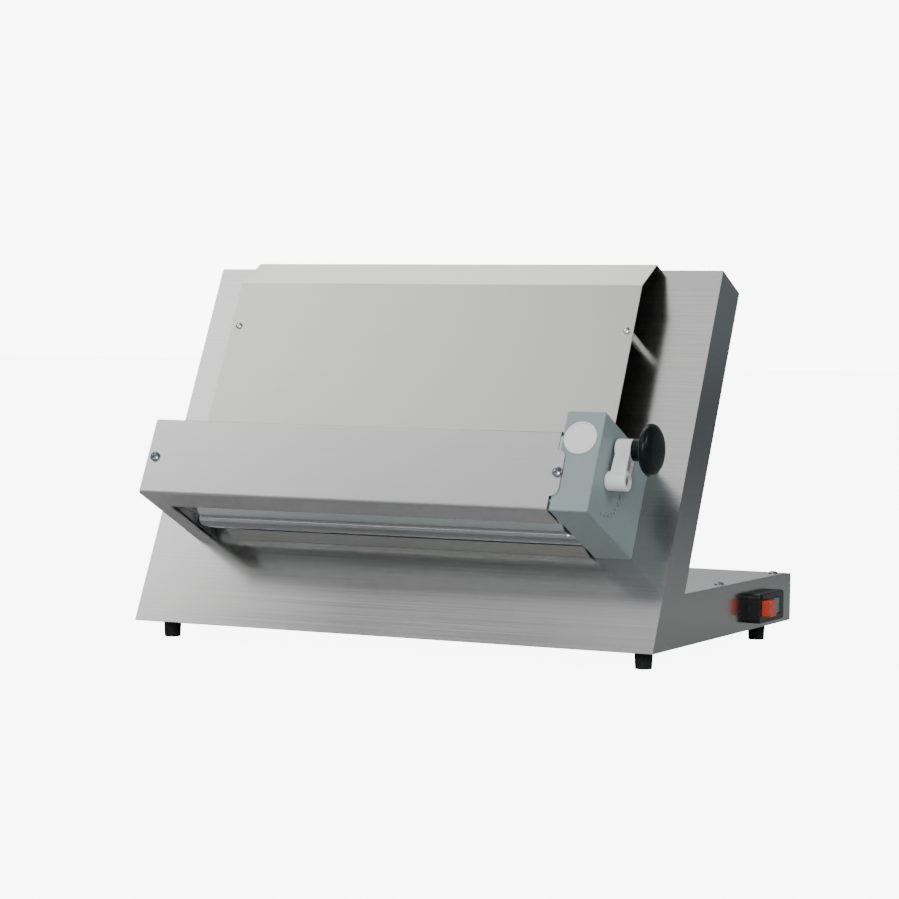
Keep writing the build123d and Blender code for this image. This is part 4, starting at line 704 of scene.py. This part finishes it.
def lever_solid(name, outline, start, end, ease=0.0):
    """Block along x from an outline in (y, z), with eased edges."""
    work = bmesh.new()
    ring = [work.verts.new((start, y, z)) for y, z in outline]
    moved = bmesh.ops.extrude_face_region(work, geom=[work.faces.new(ring)])["geom"]
    bmesh.ops.translate(work, vec=(end - start, 0, 0),
                        verts=[item for item in moved if isinstance(item, bmesh.types.BMVert)])
    bmesh.ops.recalc_face_normals(work, faces=work.faces)
    if ease:
        rims = [edge for edge in work.edges if edge.calc_face_angle(0) > radians(60)]
        bmesh.ops.bevel(work, geom=rims, offset=ease, segments=3, profile=0.5, affect="EDGES",
                        clamp_overlap=True)
    mesh = bpy.data.meshes.new(name)
    work.to_mesh(mesh)
    work.free()
    block = bpy.data.objects.new(name, mesh)
    scene.collection.objects.link(block)
    return block


def ring_of(centre, radius, steps=64):
    """Outline of a round boss or bore."""
    return [(centre.y + radius * cos(2 * pi * i / steps), centre.z + radius * sin(2 * pi * i / steps))
            for i in range(steps)]


reach = top - hub
along, across = reach.normalized(), Vector((0, -reach.z, reach.y)).normalized()


def arm_outline(half, start, end):
    """Outline of the straight arm, half its width each side, from start to end along the lever."""
    corners = [hub + along * start - across * half, hub + along * end - across * half,
               hub + along * end + across * half, hub + along * start + across * half]
    return [(corner.y, corner.z) for corner in corners]


arm = lever_solid("lever_arm", arm_outline(ARM_HALF, 0, reach.length), arm_inner, face, ARM_EASE)
hub_boss = lever_solid("hub_boss", ring_of(hub, HUB_RADIUS), lever_low.x, lever_high.x, BOSS_EASE)
top_boss = lever_solid("top_boss", ring_of(top, TOP_RADIUS), top_inner, face, BOSS_EASE)
pocket_shape = arm_outline(ARM_HALF - ARM_RIB, HUB_RADIUS + POCKET_GAP,
                           reach.length - TOP_RADIUS - POCKET_GAP)
pocket = lever_solid("pocket", pocket_shape, arm_inner + POCKET_FLOOR, face + CUT_PAST)
pin_bore = lever_solid("pin_bore", ring_of(top, PIN_BORE), top_inner - CUT_PAST, face + CUT_PAST)
shaft_bore = lever_solid("shaft_bore", ring_of(hub, SHAFT_BORE), lever_low.x - CUT_PAST,
                         lever_high.x + CUT_PAST)
tools = [("UNION", hub_boss), ("UNION", top_boss), ("DIFFERENCE", pocket), ("DIFFERENCE", pin_bore),
         ("DIFFERENCE", shaft_bore)]
for operation, tool in tools:
    cut = arm.modifiers.new(operation, "BOOLEAN")
    cut.operation, cut.object, cut.solver = operation, tool, "EXACT"
arm_mesh = settled(arm)
for operation, tool in tools:
    bpy.data.objects.remove(tool)
new_piece("lever_arm", arm_mesh, white_plastic, "lever", "white_plastic", "lever")

knob_black = moulded("knob_black", (0.001, 0.005, 0.004), (0.003, 0.009, 0.008), 120.0, (0.26, 0.34),
                     sockets=[("Specular IOR Level", 0.2)])
knob_low, knob_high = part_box("index_knob")
knob_radius = (knob_high.y - knob_low.y) / 2
knob_centre = Vector((0, *((knob_low + knob_high) / 2).yz))
STEM_RADIUS, NECK_RADIUS, STEM_LENGTH, CAP_DEPTH, CAP_ROUND = 0.006, 0.013, 0.00435, 0.0157, 0.0058
neck, back = knob_low.x + STEM_LENGTH, knob_high.x - CAP_DEPTH
outline = [(knob_low.x, 0), (knob_low.x, STEM_RADIUS), (neck, STEM_RADIUS),
           (neck, NECK_RADIUS - 0.0004), (neck + 0.0005, NECK_RADIUS), (back - 0.004, NECK_RADIUS),
           (back - 0.0015, NECK_RADIUS + 0.0008), (back - 0.0002, NECK_RADIUS + 0.0035),
           (back, NECK_RADIUS + 0.007)]
for i in range(13):
    angle = radians(-70 + 140 * i / 12)
    outline.append((back + 0.0062 + 0.0060 * sin(angle),
                    knob_radius - CAP_ROUND + CAP_ROUND * cos(angle)))
face_edge = outline[-1]
for i in range(1, 9):
    share = i / 9
    outline.append((face_edge[0] + (knob_high.x - face_edge[0]) * sqrt(share) * (2 - sqrt(share)),
                    face_edge[1] * (1 - share)))
outline += [(knob_high.x, 0.0018), (knob_high.x - 0.0005, 0.0012), (knob_high.x - 0.0006, 0)]
new_piece("mushroom_knob", turned("mushroom_knob", outline, knob_centre, (1, 0, 0), 96), knob_black,
          "knob", "black_plastic", "index_knob")

# ---- Switch --------------------------------------------------------------------------------------
# Black moulded frame set on the right side of the base, with a proud red stop button and a flush
# blue-green start button.
black_plastic = moulded("switch_black", (0.005, 0.005, 0.006), (0.010, 0.010, 0.011), 800.0,
                        (0.28, 0.42), (0.12, 0.0002))
smooth_copy("switch_bezel", "switch_frame", black_plastic, "frame", "black_plastic")


def button_plastic(name, dark, light):
    """Smooth plastic with a thin gloss."""
    return moulded(name, dark, light, 90.0, (0.24, 0.36), sockets=[("Coat Weight", 0.3)])


stop_red = button_plastic("stop_red", (0.58, 0.055, 0.025), (0.68, 0.075, 0.035))
start_teal = button_plastic("start_teal", (0.01, 0.18, 0.20), (0.015, 0.24, 0.26))
smooth_copy("stop_button", "stop_cap", stop_red, "stop_button", "stop_red")
smooth_copy("start_button", "start_cap", start_teal, "start_button", "start_green")

# ---- Works inside the casing ---------------------------------------------------------------------
# Plates, shafts, gears, motor, belt and wiring sit behind the sheets, bolted or pressed in place.
# They keep their CAD form and get their own finishes.
motor_paint = button_plastic("motor_paint", (0.05, 0.055, 0.06), (0.07, 0.075, 0.08))
grey_plastic = button_plastic("grey_plastic", (0.30, 0.31, 0.32), (0.35, 0.36, 0.37))
finishes = {"polished_steel": bright_steel, "spring_steel": bright_steel, "machined_steel": machined,
            "bush_bronze": bronze, "motor_paint": motor_paint, "grey_plastic": grey_plastic,
            "black_plastic": black_plastic, "belt_rubber": rubber}
for node, piece in frame["nodes"].items():
    slot = node_slot[node]
    if slot in finishes and not piece.hide_render:
        for index in range(max(1, len(piece.material_slots))):
            if piece.material_slots:
                piece.material_slots[index].material = finishes[slot]
            else:
                piece.data.materials.append(finishes[slot])
